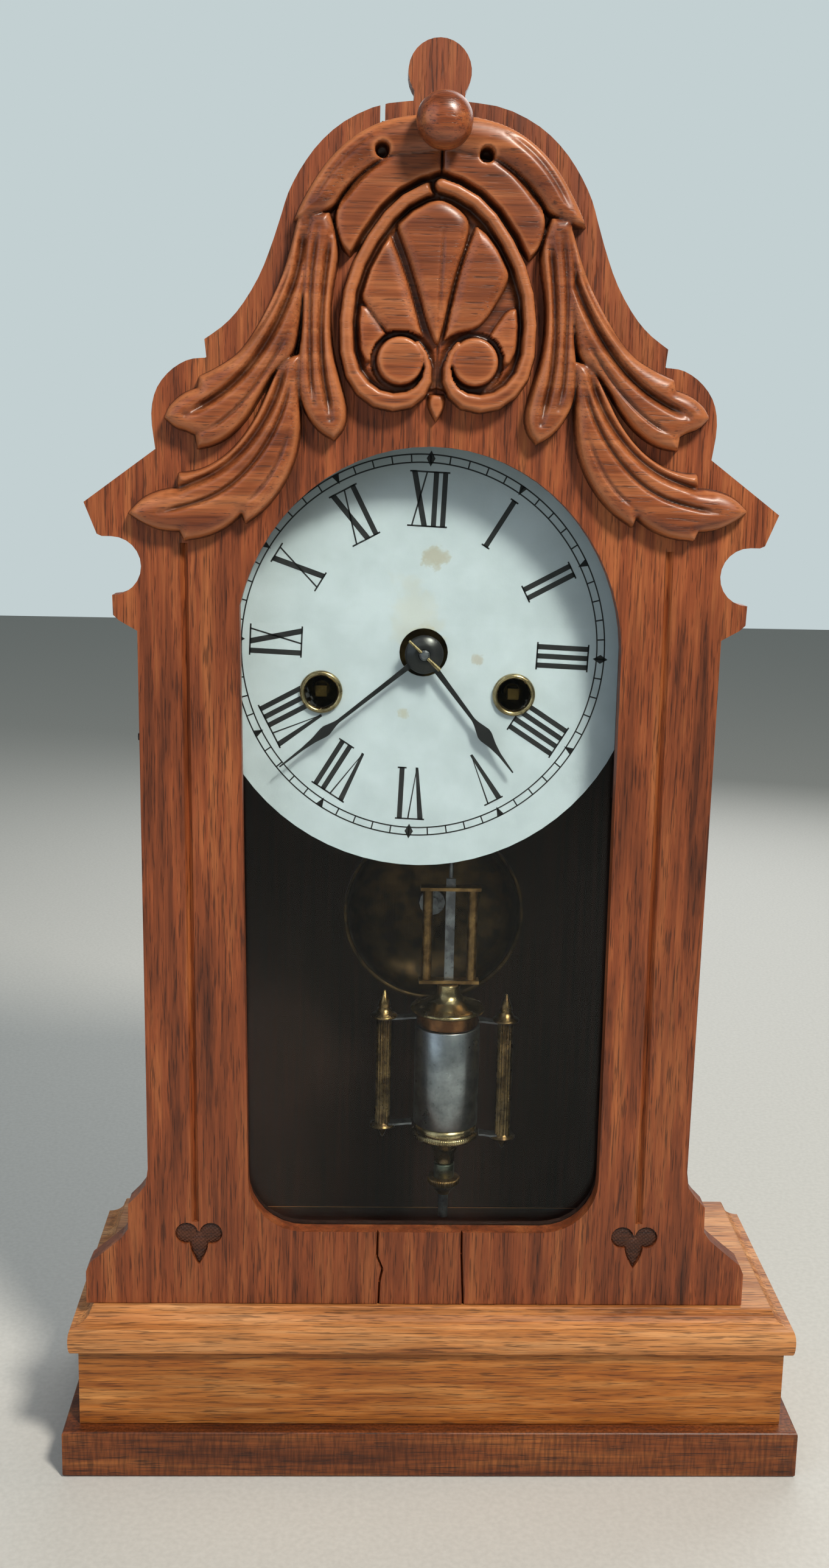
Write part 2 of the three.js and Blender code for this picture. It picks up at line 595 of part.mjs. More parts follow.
// ---- Wheels ------------------------------------------------------------------------------------
// A toothed wheel's outline: each tooth is a plain point with room to run.
function toothedShape(teeth, pitchRadius, x, z, phase = 0) {
  const size = 2 * pitchRadius / teeth;
  const [tip, root] = [pitchRadius + 0.8 * size, pitchRadius - 1.2 * size];
  const step = 2 * Math.PI / teeth;
  const points = [];
  for (let i = 0; i < teeth; i += 1) {
    const middle = i * step + phase;
    const valley = middle + step / 2;
    points.push(V2(x + tip * Math.cos(middle), z + tip * Math.sin(middle)));
    points.push(V2(x + root * Math.cos(valley), z + root * Math.sin(valley)));
  }
  return new THREE.Shape(points);
}

// The centre of a wheel that meshes with two others, on the chosen side of the line between them.
function meshPoint(a, reachA, b, reachB, side) {
  const [dx, dz] = [b.x - a.x, b.z - a.z];
  const apart = Math.hypot(dx, dz);
  const along = (reachA ** 2 - reachB ** 2 + apart ** 2) / (2 * apart);
  const off = side * Math.sqrt(reachA ** 2 - along ** 2);
  return {
    x: a.x + (along * dx - off * dz) / apart,
    z: a.z + (along * dz + off * dx) / apart,
  };
}

const directionTo = (from, to) => Math.atan2(to.z - from.z, to.x - from.x);

// The turn that puts a tooth of one wheel in a tooth space of the wheel it meshes with.
function meshPhase(at, teeth, other, otherTeeth, otherPhase) {
  const toOther = directionTo(at, other);
  const back = toOther + Math.PI;
  const otherStep = 2 * Math.PI / otherTeeth;
  const slip = (back - otherPhase) / otherStep;
  return toOther + (slip + 0.5) * 2 * Math.PI / teeth;
}

const wheel = (teeth, radius, at, front, thick, phase) =>
  slab(toothedShape(teeth, radius, at.x, at.z, phase), front, front + thick);

// The going train, from the mainspring to the escapement, and the strike train beside it.
const GREAT = { x: WINDING.right, z: WINDING.z, teeth: 60 };
const STRIKE_GREAT = { x: WINDING.left, z: WINDING.z, teeth: 60 };
const SECOND_TEETH = { pinion: 10, wheel: 40 };
const CENTRE_TEETH = { pinion: 10, wheel: 60 };
const FOURTH_TEETH = { pinion: 6, wheel: 58 };
const ESCAPE_PINION = 6;
const FLY_PINION = 8;
const MOTION = { cannon: 12, minute: 36, pinion: 8, hour: 32, reach: 14 };
const GREAT_REACH = 33;             // from each great wheel to its second wheel
const SECOND_REACH = 25.7;          // from the second wheel to the centre arbor
const FOURTH_REACH = 20.5;
const ESCAPE_REACH = 17.2;
const FLY_REACH = 21.6;
const SECOND = meshPoint(GREAT, GREAT_REACH, CENTRE, SECOND_REACH, 1);
const FOURTH = meshPoint(CENTRE, FOURTH_REACH, ESCAPE, ESCAPE_REACH, -1);
const STRIKE_SECOND = {
  x: STRIKE_GREAT.x + GREAT_REACH * Math.cos(turn(67.5)),
  z: STRIKE_GREAT.z + GREAT_REACH * Math.sin(turn(67.5)),
};
const FLY = { x: STRIKE_SECOND.x, z: STRIKE_SECOND.z + FLY_REACH };
const MINUTE_WHEEL = {
  x: CENTRE.x + MOTION.reach * Math.cos(turn(120)),
  z: CENTRE.z + MOTION.reach * Math.sin(turn(120)),
};
const share = (reach, own, other) => reach * own / (own + other);

const FRONT_PIVOT = FRONT_PLATE + 0.4;
const BACK_PIVOT = BACK_PLATE + PLATE_THICK - 0.2;
const PIVOT_RADIUS = 0.7;
const HOLE_SIDES = 8;

// A wheel arbor with a thin pivot at each end, running between the plates.
function arborBetweenPlates(at, radius) {
  const [inFront, inBack] = [FRONT_PLATE + PLATE_THICK + 0.4, BACK_PLATE - 0.4];
  return turnedInDepth([
    [0, FRONT_PIVOT], [PIVOT_RADIUS, FRONT_PIVOT], [PIVOT_RADIUS, inFront], [radius, inFront],
    [radius, inBack], [PIVOT_RADIUS, inBack], [PIVOT_RADIUS, BACK_PIVOT], [0, BACK_PIVOT],
  ], at.x, at.z, 8);
}

// A mainspring's great wheel on its winding arbor, with the square that the key fits.
function greatWheel(at) {
  const radius = share(GREAT_REACH, at.teeth, SECOND_TEETH.pinion);
  const arbor = turnedInDepth([
    [0, 26], [3, 26], [3, BACK_PLATE - 0.4], [2, BACK_PLATE - 0.4], [2, BACK_PIVOT], [0, BACK_PIVOT],
  ], at.x, at.z, 16);
  const square = block(at.x - 1.9, at.x + 1.9, 20.6, 27, at.z - 1.9, at.z + 1.9);
  const ratchet = wheel(18, 7.5, at, 56.2, 1.4, 0);
  return join(arbor, square, wheel(at.teeth, radius, at, 58, 1.8, 0), ratchet);
}

// The coiled mainspring as the ring that its turns fill.
function mainspring(at) {
  return turnedInDepth([[3.4, 40], [17, 40], [17, 54], [3.4, 54], [3.4, 40]], at.x, at.z, 20);
}

function secondWheel(at, great, meshReach, other) {
  const pinionPhase = meshPhase(at, SECOND_TEETH.pinion, great, great.teeth, 0);
  return join(
    arborBetweenPlates(at, 1.6),
    wheel(SECOND_TEETH.pinion, share(GREAT_REACH, SECOND_TEETH.pinion, great.teeth), at, 57, 4, pinionPhase),
    wheel(SECOND_TEETH.wheel, share(meshReach, SECOND_TEETH.wheel, other), at, 62, 1.2, 0),
  );
}

function centreArbor() {
  const pinionRadius = share(SECOND_REACH, CENTRE_TEETH.pinion, SECOND_TEETH.wheel);
  const pinionPhase = meshPhase(CENTRE, CENTRE_TEETH.pinion, SECOND, SECOND_TEETH.wheel, 0);
  const wheelRadius = share(FOURTH_REACH, CENTRE_TEETH.wheel, FOURTH_TEETH.pinion);
  const cannonRadius = share(MOTION.reach, MOTION.cannon, MOTION.minute);
  const shaft = turnedInDepth([[0, 8.9], [1.2, 9.1], [1.8, 9.7], [1.9, 10.4], [1.9, BACK_PLATE - 0.4],
    [1.3, BACK_PLATE - 0.4], [1.3, BACK_PIVOT], [0, BACK_PIVOT]], CENTRE.x, CENTRE.z, 14);
  const body = join(
    shaft,
    wheel(CENTRE_TEETH.pinion, pinionRadius, CENTRE, 61.3, 2.6, pinionPhase),
    wheel(CENTRE_TEETH.wheel, wheelRadius, CENTRE, 55, 1.2, 0),
    wheel(MOTION.cannon, cannonRadius, CENTRE, 26.4, 2.6, 0),
  );
  return cut(body, acrossCentre(0.8, 0.95));
}

function fourthWheel() {
  const pinion = share(FOURTH_REACH, FOURTH_TEETH.pinion, CENTRE_TEETH.wheel);
  const phase = meshPhase(FOURTH, FOURTH_TEETH.pinion, CENTRE, CENTRE_TEETH.wheel, 0);
  return join(
    arborBetweenPlates(FOURTH, 1.1),
    wheel(FOURTH_TEETH.pinion, pinion, FOURTH, 54.3, 2.6, phase),
    wheel(FOURTH_TEETH.wheel, share(ESCAPE_REACH, FOURTH_TEETH.wheel, ESCAPE_PINION), FOURTH, 46, 1.2, 0),
  );
}

// The escape wheel's teeth lean forward and end in a point.
function escapeWheel() {
  const pinion = share(ESCAPE_REACH, ESCAPE_PINION, FOURTH_TEETH.wheel);
  const phase = meshPhase(ESCAPE, ESCAPE_PINION, FOURTH, FOURTH_TEETH.wheel, 0);
  const step = 2 * Math.PI / ESCAPE.teeth;
  const points = [];
  for (let i = 0; i < ESCAPE.teeth; i += 1) {
    const angle = i * step;
    const lean = angle + 0.45 * step;
    const root = ESCAPE.radius - 1.8;
    points.push(V2(ESCAPE.x + root * Math.cos(angle), ESCAPE.z + root * Math.sin(angle)));
    points.push(V2(ESCAPE.x + ESCAPE.radius * Math.cos(lean), ESCAPE.z + ESCAPE.radius * Math.sin(lean)));
  }
  return join(
    arborBetweenPlates(ESCAPE, 1),
    wheel(ESCAPE_PINION, pinion, ESCAPE, 45.3, 2.6, phase),
    slab(new THREE.Shape(points), 50, 51),
  );
}

// The bent strip that lets the escape wheel by, its arbor, and the crutch that moves the pendulum.
function verge() {
  const { x, z } = PIVOT;
  const tipX = 7.6;
  const tipZ = ESCAPE.z + 11.2;
  const strip = new THREE.Shape([
    V2(x - 2.4, z + 1.8), V2(x - tipX - 1.6, tipZ + 3), V2(x - tipX - 1, tipZ), V2(x - tipX, tipZ + 0.4),
    V2(x - tipX + 0.2, tipZ + 2.8), V2(x - 1.8, z - 2.2), V2(x + 1.8, z - 2.2),
    V2(x + tipX - 0.2, tipZ + 2.8), V2(x + tipX, tipZ + 0.4), V2(x + tipX + 1, tipZ),
    V2(x + tipX + 1.6, tipZ + 3), V2(x + 2.4, z + 1.8),
  ]);
  const arbor = turnedInDepth([
    [0, 34.6], [0.9, 34.6], [0.9, BACK_PLATE - 0.4], [PIVOT_RADIUS, BACK_PLATE - 0.4],
    [PIVOT_RADIUS, BACK_PIVOT], [0, BACK_PIVOT],
  ], x, z, 12);
  const crutchFoot = 18;
  return join(
    arbor,
    slab(strip, 49.4, 51.4),
    block(x - 1.1, x + 1.1, 34.7, 35.5, crutchFoot, z + 1.4),
    block(x - 2.4, x + 2.4, 34.7, 35.5, crutchFoot - 2, crutchFoot + 1),
    block(x - 2.4, x - 1.5, 31.4, 35.2, crutchFoot - 2, crutchFoot),
    block(x + 1.5, x + 2.4, 31.4, 35.2, crutchFoot - 2, crutchFoot),
  );
}

function hourWheel() {
  const radius = share(MOTION.reach, MOTION.hour, MOTION.pinion);
  const pinionAt = MINUTE_WHEEL;
  const phase = meshPhase(CENTRE, MOTION.hour, pinionAt, MOTION.pinion, 0);
  const pipe = turnedInDepth([[0, 14.4], [3.2, 14.4], [3.2, 25.5], [0, 25.5]], CENTRE.x, CENTRE.z, 20);
  const bore = rod(2.1, 12, 30, CENTRE.x, CENTRE.z, 20);
  return cut(join(pipe, wheel(MOTION.hour, radius, CENTRE, 24, 1.5, phase)), bore);
}

function minuteWheel() {
  const radius = share(MOTION.reach, MOTION.minute, MOTION.cannon);
  const phase = meshPhase(MINUTE_WHEEL, MOTION.minute, CENTRE, MOTION.cannon, 0);
  return join(
    rod(1.1, 22.6, FRONT_PLATE + PLATE_THICK - 0.2, MINUTE_WHEEL.x, MINUTE_WHEEL.z, 12),
    wheel(MOTION.minute, radius, MINUTE_WHEEL, 27, 1.4, phase),
    wheel(MOTION.pinion, share(MOTION.reach, MOTION.pinion, MOTION.hour), MINUTE_WHEEL, 23.4, 4, 0),
  );
}

function fly() {
  const radius = share(FLY_REACH, FLY_PINION, SECOND_TEETH.wheel);
  const phase = meshPhase(FLY, FLY_PINION, STRIKE_SECOND, SECOND_TEETH.wheel, 0);
  return join(
    arborBetweenPlates(FLY, 1),
    wheel(FLY_PINION, radius, FLY, 61.3, 2.6, phase),
    block(FLY.x - 10, FLY.x + 10, 43, 57, FLY.z - 0.4, FLY.z + 0.4),
  );
}

// The movement's front or back plate, with rounded corners, a pierced middle and its arbor holes.
function movementPlate(front, holes) {
  const { x, halfWidth, halfHeight } = PLATES;
  const corner = 8;
  const points = [[1, 1, 0], [-1, 1, 90], [-1, -1, 180], [1, -1, 270]].flatMap(([sx, sz, start]) =>
    arcPoints(x + sx * (halfWidth - corner), sz * (halfHeight - corner), corner, start, start + 90, 4));
  // each hole clears its shaft by a little on the flats of its sides
  const flats = Math.cos(Math.PI / HOLE_SIDES);
  const tools = holes.map(([shaft, at]) =>
    rod((shaft + 0.15) / flats, front - 1, front + PLATE_THICK + 1, at.x, at.z, HOLE_SIDES));
  return cut(slab(new THREE.Shape(points), front, front + PLATE_THICK), ...tools);
}

const PILLARS = [
  ['upper_left', -1, 1], ['upper_right', 1, 1], ['lower_left', -1, -1], ['lower_right', 1, -1],
].map(([name, sx, sz]) => ({ name, x: PLATES.x + sx * PLATES.pillarX, z: sz * PLATES.pillarZ }));

function addMovement() {
  const pillarHoles = PILLARS.map((pillar) => [2.2, pillar]);
  const trainPivots = [SECOND, FOURTH, ESCAPE, STRIKE_SECOND, FLY, HAMMER].map((at) => [PIVOT_RADIUS, at]);
  addPiece(works, 'front_plate', movementPlate(FRONT_PLATE, [
    ...pillarHoles, ...trainPivots,
    [3, GREAT], [3, STRIKE_GREAT], [1.9, CENTRE], [0.9, PIVOT], [1.1, MINUTE_WHEEL],
  ]), 'brass');
  addPiece(works, 'back_plate', movementPlate(BACK_PLATE, [
    ...pillarHoles, ...trainPivots, [2, GREAT], [2, STRIKE_GREAT], [1.3, CENTRE], [PIVOT_RADIUS, PIVOT],
  ]), 'brass');
  for (const { name, x, z } of PILLARS) {
    const between = [FRONT_PLATE + PLATE_THICK + 0.2, BACK_PLATE - 0.2];
    const behind = BACK_PLATE + PLATE_THICK + 0.2;
    const pillar = turnedInDepth([
      [0, 33.6], [3.6, 33.6], [3.6, FRONT_PLATE - 0.2], [2.2, FRONT_PLATE - 0.2],
      [2.2, between[0]], [3.4, between[0]], [3.4, between[1]], [2.2, between[1]],
      [2.2, behind], [3.4, behind], [3.4, CASE.back], [0, CASE.back],
    ], x, z, 10);
    addPiece(works, `pillar_${name}`, pillar, 'steel');
  }
  addPiece(works, 'time_great_wheel', greatWheel(GREAT), 'brass');
  addPiece(works, 'strike_great_wheel', greatWheel(STRIKE_GREAT), 'brass');
  addPiece(works, 'time_mainspring', mainspring(GREAT), 'steel');
  addPiece(works, 'strike_mainspring', mainspring(STRIKE_GREAT), 'steel');
  addPiece(works, 'time_second_wheel', secondWheel(SECOND, GREAT, SECOND_REACH, CENTRE_TEETH.pinion), 'brass');
  addPiece(works, 'strike_second_wheel', secondWheel(STRIKE_SECOND, STRIKE_GREAT, FLY_REACH, FLY_PINION), 'brass');
  addPiece(works, 'centre_arbor', centreArbor(), 'steel');
  addPiece(works, 'fourth_wheel', fourthWheel(), 'brass');
  addPiece(works, 'escape_wheel', escapeWheel(), 'brass');
  addPiece(works, 'verge', verge(), 'steel');
  addPiece(works, 'hour_wheel', hourWheel(), 'brass');
  addPiece(works, 'minute_wheel', minuteWheel(), 'brass');
  addPiece(works, 'strike_fly', fly(), 'brass');
}

// ---- Bell --------------------------------------------------------------------------------------
function addBell() {
  const { x, z, radius, mouth, crown, wall } = BELL;
  const depth = crown - mouth;
  const postHole = 2.9;
  const steps = 6;
  const outer = [];
  const inner = [];
  for (let i = 0; i <= steps; i += 1) {
    // a shallow bowl: wide and straight at the mouth, rounding over to a flat crown
    const t = Math.sin((i / steps) * Math.PI / 2);
    const bowl = (size) => postHole + (size - postHole) * Math.pow(1 - t ** 2.6, 0.42);
    outer.push([bowl(radius), mouth + depth * t]);
    inner.push([bowl(radius - wall), mouth + (depth - wall) * t]);
  }
  const shell = [...outer, ...inner.toReversed(), outer[0]];
  addPiece(works, 'bell', turnedInDepth(shell, x, z, 28), 'agedBrass');
  // the post the bell hangs on, with a nut in the bell's mouth
  const underCrown = crown - wall;
  const standard = turnedInDepth([
    [0, underCrown - 4.6], [2.5, underCrown - 4.6], [2.5, underCrown - 3], [5, underCrown - 3],
    [5, underCrown - 2 * GAP], [2.5, underCrown - 2 * GAP], [2.5, crown + 0.4], [4.6, crown + 0.4],
    [4.6, CASE.back], [0, CASE.back],
  ], x, z, 12);
  addPiece(works, 'bell_standard', standard, 'steel');
  const head = { x: x - 25.8, z: z + 27.6 };
  const wireDepth = 54;
  const hammer = join(
    arborBetweenPlates(HAMMER, 1.3),
    bar([HAMMER.x, wireDepth, HAMMER.z], [head.x, wireDepth, head.z], 0.9),
    bar([head.x - 4.4, wireDepth, head.z + 4.4], [head.x + 0.6, wireDepth, head.z - 0.6], 3.2, 3.2, 16),
  );
  addPiece(works, 'hammer', hammer, 'steel');
}

// ---- Pendulum ------------------------------------------------------------------------------------
const FRAME = {
  top: -87, bottom: -123.4, barHalf: 11, barDeep: 2.6, barThick: 1.2, rodReach: 8.25, rodRadius: 1.85,
};
const COLUMN = { flutes: 10, crest: 2.9, valley: 2.5, topArm: 11.7, bottomArm: 12.6 };
const SIDE_COLUMNS = {
  left: { reach: -23.5, bottom: -178.6, top: -137.2 },
  right: { reach: 21.6, bottom: -182.9, top: -138.5 },
};

function pendulumFrame() {
  const x = PIVOT.x;
  const slot = block(x - 2, x + 2, BOB_Y - 0.9, BOB_Y + 0.9, FRAME.bottom - 2, FRAME.top + 2);
  const cross = (z) => block(
    x - FRAME.barHalf, x + FRAME.barHalf, BOB_Y - FRAME.barDeep, BOB_Y + FRAME.barDeep, z - FRAME.barThick, z,
  );
  const rods = [-1, 1].map((side) =>
    post(FRAME.rodRadius, FRAME.bottom, FRAME.top - 1, x + side * FRAME.rodReach, BOB_Y, 18));
  return cut(join(cross(FRAME.top), cross(FRAME.bottom + FRAME.barThick), ...rods), slot);
}

// A fluted column with a coned finial and a flange at each end, and the arms that hold it.
function sideColumn({ reach, bottom, top }) {
  const x = PIVOT.x + reach;
  const points = [];
  for (let i = 0; i < COLUMN.flutes * 2; i += 1) {
    const angle = i * Math.PI / COLUMN.flutes;
    const radius = i % 2 === 0 ? COLUMN.valley : COLUMN.crest;
    points.push(V2(x + radius * Math.cos(angle), BOB_Y + radius * Math.sin(angle)));
  }
  const settings = { depth: top - bottom, bevelEnabled: false };
  const shaft = new THREE.ExtrudeGeometry(new THREE.Shape(points), settings);
  shaft.translate(0, 0, bottom);
  const capTop = turnedUpright([
    [0, top], [3.3, top], [5, top + 0.5], [5, top + 1.1], [3.1, top + 1.7],
    [2.7, top + 3.4], [1.9, top + 4], [2.4, top + 4.8], [2, top + 6.5], [0.6, top + 10.4], [0, top + 10.8],
  ], x, BOB_Y, 12);
  const capBottom = turnedUpright([
    [0, bottom - 5.6], [0.5, bottom - 5.2], [1.7, bottom - 2.4], [1.5, bottom - 1.6],
    [4.8, bottom - 1], [4.8, bottom - 0.4], [3, bottom], [0, bottom],
  ], x, BOB_Y, 12);
  const arm = (from, z) => {
    const start = PIVOT.x + Math.sign(reach) * from;
    return block(Math.min(start, x), Math.max(start, x), BOB_Y - 1.6, BOB_Y + 1.6, z, z + 0.8);
  };
  const arms = join(arm(COLUMN.topArm, top - 0.4), arm(COLUMN.bottomArm, bottom - 0.4));
  return join(solid(shaft), capTop, capBottom, arms);
}

function addPendulum() {
  const { x, z } = PIVOT;
  // suspension spring, then the wire down to the hook that carries the strap
  const wire = join(
    block(x - 1.6, x + 1.6, BOB_Y - 0.2, BOB_Y + 0.2, z - 14, z + 1.2),
    block(x - 1.8, x + 1.8, BOB_Y - 0.8, BOB_Y + 0.8, z - 17, z - 13),
    post(0.8, FRAME.top + 3.4, z - 16, x, BOB_Y, 12),
  );
  addPiece(works, 'pendulum_wire', wire, 'steel');
  const strap = join(
    block(x - 1.7, x + 1.7, BOB_Y - 0.5, BOB_Y + 0.5, -128, FRAME.top + 3),
    post(1.8, -216, -126, x, BOB_Y, 16),
  );
  addPiece(works, 'pendulum_strap', strap, 'steel');
  addPiece(works, 'pendulum_frame', pendulumFrame(), 'brass');
  // a turned neck that flares to a lip, over the band that holds the cylinder's upper end
  const cap = turnedUpright([
    [2.3, -123.8], [4.6, -123.8], [4.5, -126], [5.2, -128.4], [7.4, -130.4], [11.6, -131.9],
    [13.5, -132.5], [13.8, -133.3], [13.2, -134], [11.3, -134.4], [11.3, -139.2], [10.2, -139.2],
    [10.2, -135.4], [2.3, -134.4], [2.3, -123.8],
  ], x, BOB_Y, 24);
  addPiece(works, 'bob_cap', cap, 'brass');
  const cylinder = turnedUpright([
    [10.9, -139.5], [12, -139.5], [12, -177.4], [10.9, -177.4], [10.9, -139.5],
  ], x, BOB_Y, 24);
  addPiece(works, 'bob_cylinder', cylinder, 'silvered');
  const foot = turnedUpright([
    [10.4, -177.7], [11.8, -177.7], [11.8, -180.8], [12.2, -181.2], [12.2, -182.9], [11.6, -183.3],
    [7.2, -184.2], [7.2, -185], [5, -187.6], [3.9, -190.4], [3.7, -193.9], [2.2, -193.9], [2.2, -184],
    [10.4, -181.4], [10.4, -177.7],
  ], x, BOB_Y, 24);
  addPiece(works, 'bob_base', foot, 'brass');
  addPiece(works, 'side_column_left', sideColumn(SIDE_COLUMNS.left), 'agedBrass');
  addPiece(works, 'side_column_right', sideColumn(SIDE_COLUMNS.right), 'agedBrass');
  const nut = turnedUpright([
    [2.1, -194.2], [3.85, -194.2], [3.85, -199.8], [6.1, -200], [6.2, -200.6], [6.2, -201.8],
    [5.9, -202.3], [2.6, -205.8], [2.6, -206.6], [2.1, -206.6], [2.1, -194.2],
  ], x, BOB_Y, 18);
  addPiece(works, 'rating_nut', nut, 'agedBrass');
  const holder = cut(
    block(x - 3, x + 3, BOB_Y - 2.4, FRONT_PLATE - 0.2, z + 1.6, z + 6.6),
    block(x - 1.8, x + 1.8, BOB_Y - 0.4, BOB_Y + 0.4, z, z + 3),
  );
  addPiece(works, 'suspension_cock', holder, 'brass');
}

addBase();
addCase();
addDoor();
addDial();
addMovement();
addBell();
addPendulum();

export default clock;
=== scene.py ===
"""A carved walnut mantel clock: fine pieces, finishes and a plain studio round the clock's frame."""

import math

import bmesh
import bpy
import numpy as np
from mathutils import Matrix, Vector


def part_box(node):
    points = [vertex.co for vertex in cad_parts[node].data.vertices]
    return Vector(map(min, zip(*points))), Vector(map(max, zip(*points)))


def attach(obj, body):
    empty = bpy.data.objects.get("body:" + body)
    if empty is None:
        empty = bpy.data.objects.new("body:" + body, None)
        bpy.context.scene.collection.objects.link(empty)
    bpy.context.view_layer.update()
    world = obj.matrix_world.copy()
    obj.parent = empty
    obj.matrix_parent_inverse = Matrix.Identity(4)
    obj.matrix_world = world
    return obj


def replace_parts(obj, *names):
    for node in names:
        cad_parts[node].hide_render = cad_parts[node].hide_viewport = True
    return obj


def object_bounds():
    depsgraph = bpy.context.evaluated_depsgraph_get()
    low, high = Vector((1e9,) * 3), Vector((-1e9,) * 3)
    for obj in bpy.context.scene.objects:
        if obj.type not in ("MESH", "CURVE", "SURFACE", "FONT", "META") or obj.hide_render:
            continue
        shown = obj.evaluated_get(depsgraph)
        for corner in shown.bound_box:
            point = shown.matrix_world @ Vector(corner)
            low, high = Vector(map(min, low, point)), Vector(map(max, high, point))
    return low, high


bl_info = {
    "name": "Carved Mantel Clock",
    "version": (1, 0, 0),
    "blender": (4, 5, 0),
    "location": "View3D > Sidebar > Mantel Clock",
    "description": "Builds the carving, dial print, turned pieces, finishes and studio of a mantel clock",
    "category": "Object",
}

MM = 0.001
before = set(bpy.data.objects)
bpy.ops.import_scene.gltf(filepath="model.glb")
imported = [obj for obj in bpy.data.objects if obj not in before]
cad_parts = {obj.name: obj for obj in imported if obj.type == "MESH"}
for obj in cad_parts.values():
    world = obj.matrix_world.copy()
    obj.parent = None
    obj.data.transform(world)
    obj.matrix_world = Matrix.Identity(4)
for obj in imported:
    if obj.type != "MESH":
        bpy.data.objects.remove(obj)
CAD_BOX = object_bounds()

# ---- Places, all worked out from the frame ----
BOARD_LOW, BOARD_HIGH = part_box("door_board")
DIAL_LOW, DIAL_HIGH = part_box("dial_plate")
ORIGIN = Vector(((BOARD_LOW[0] + BOARD_HIGH[0]) / 2, BOARD_LOW[1], (DIAL_LOW[2] + DIAL_HIGH[2]) / 2))


def place(x, depth, z):
    """A point of the case in metres: x from its centre line, depth behind the door's face, z from the dial's
    centre, all in millimetres."""
    return ORIGIN + Vector((x, depth, z)) * MM


def local(point):
    """The x, depth and z in millimetres of a point in the row frame."""
    return (Vector(point) - ORIGIN) / MM


def node_box(node):
    """The low and high corners of a node's box, as x, depth and z in millimetres."""
    return [local(corner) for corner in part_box(node)]


def node_middle(node):
    """The middle of a node's box, as x, depth and z in millimetres."""
    low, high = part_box(node)
    return local((Vector(low) + Vector(high)) / 2)


HAND_AXIS = node_middle("hand_washer")
DIAL_MIDDLE = node_middle("dial_plate")
DIAL_FACE = local(DIAL_LOW).y
BOB = node_middle("bob_cylinder")

# ---- The carving, in millimetres on the door's face: x outward from the middle, z from the dial ----
LIFT_HUB = (48.0, 95.0)
RIGHT_LIFT = math.radians(4.5)     # the right-hand sprays stand a little higher
FLOOR = -0.6                       # the relief's ground lies just under the door's face
SHARP_TURN = math.radians(48)

# Each form: height at its wall, height of its crown, how far in the crown is reached, its outline,
# and its cut veins as (half width, depth, points).
BROW = {
    "wall": 5.2, "crown": 8.8, "roll": 6.5,
    "outline": [(0, 171), (10, 170.5), (20, 168.2), (28, 163.8), (35, 157.5), (40, 150.5), (44.5, 142.5),
                (46, 138.6), (41.5, 138.4), (36.5, 140.6), (33.2, 142.6), (31, 146.4), (26.8, 151),
                (21.8, 155), (17, 157.6), (13, 158), (7, 158.6), (0, 160)],
    "veins": [(0.9, 0.7, [(20, 165.4), (29, 159.4), (36, 151), (41, 142)])],
}
BROW_LEAF = {
    "wall": 5.0, "crown": 6.4, "roll": 4.0,
    "outline": [(0, 163), (12, 160.4), (18, 158.2), (24, 154), (29, 148.6), (33, 142.8), (33.4, 137),
                (31.4, 131), (28.4, 128.2), (24, 133.5), (17, 142.6), (8, 149.4), (0, 152)],
    "veins": [(0.8, 1.4, [(16, 157.6), (21.5, 155), (26, 150.6), (30.4, 145.4), (32.6, 142)])],
}
TONGUE = {
    "wall": 4.2, "crown": 7.4, "roll": 3.6,
    "outline": [(34.8, 141), (41.5, 141), (43.2, 128), (43.4, 115), (43.6, 104), (45.2, 94), (44.6, 84.5),
                (41.2, 77.5), (37, 73), (32.8, 71), (29.6, 74.4), (28.6, 80), (30.6, 88), (33.6, 98),
                (34.6, 108), (34, 118), (32, 127), (32.4, 134)],
    "veins": [(1.0, 2.4, [(34.6, 134), (36.4, 120), (37.4, 106), (36.8, 93), (35, 84), (33.8, 77.5)]),
              (0.8, 1.6, [(38.6, 136), (40.4, 124), (41, 112), (40.8, 100), (40.6, 90), (39.2, 82)])],
}
UPPER_LEAF = {
    "wall": 4.0, "crown": 8.0, "roll": 5.0, "lift": True,
    "outline": [(40, 141), (44.6, 141), (48.6, 124.5), (53, 114.5), (58, 105), (63.4, 97.8), (70, 93),
                (76.2, 90), (76.8, 86.6), (82, 84.4), (86, 80.6), (87.4, 77), (84, 73.8), (80.4, 73),
                (77.6, 71.6), (76.8, 67.4), (71.6, 68.4), (66, 71.6), (60.4, 77.6), (56.2, 85), (52, 92),
                (45.5, 97), (43.8, 108), (42, 122)],
    "veins": [(1.3, 3.4, [(43, 137), (44.4, 124), (48.6, 112), (54, 101.6), (60, 93), (66.6, 86.4), (73, 82),
                          (80, 78)]),
              (0.7, 1.3, [(46.6, 126), (51.4, 114), (57, 104.6), (63, 98), (69, 93.4)]),
              (0.7, 1.2, [(47.6, 104), (52.4, 95.4), (58, 87), (64, 80), (70, 75), (75, 72.6)])],
}
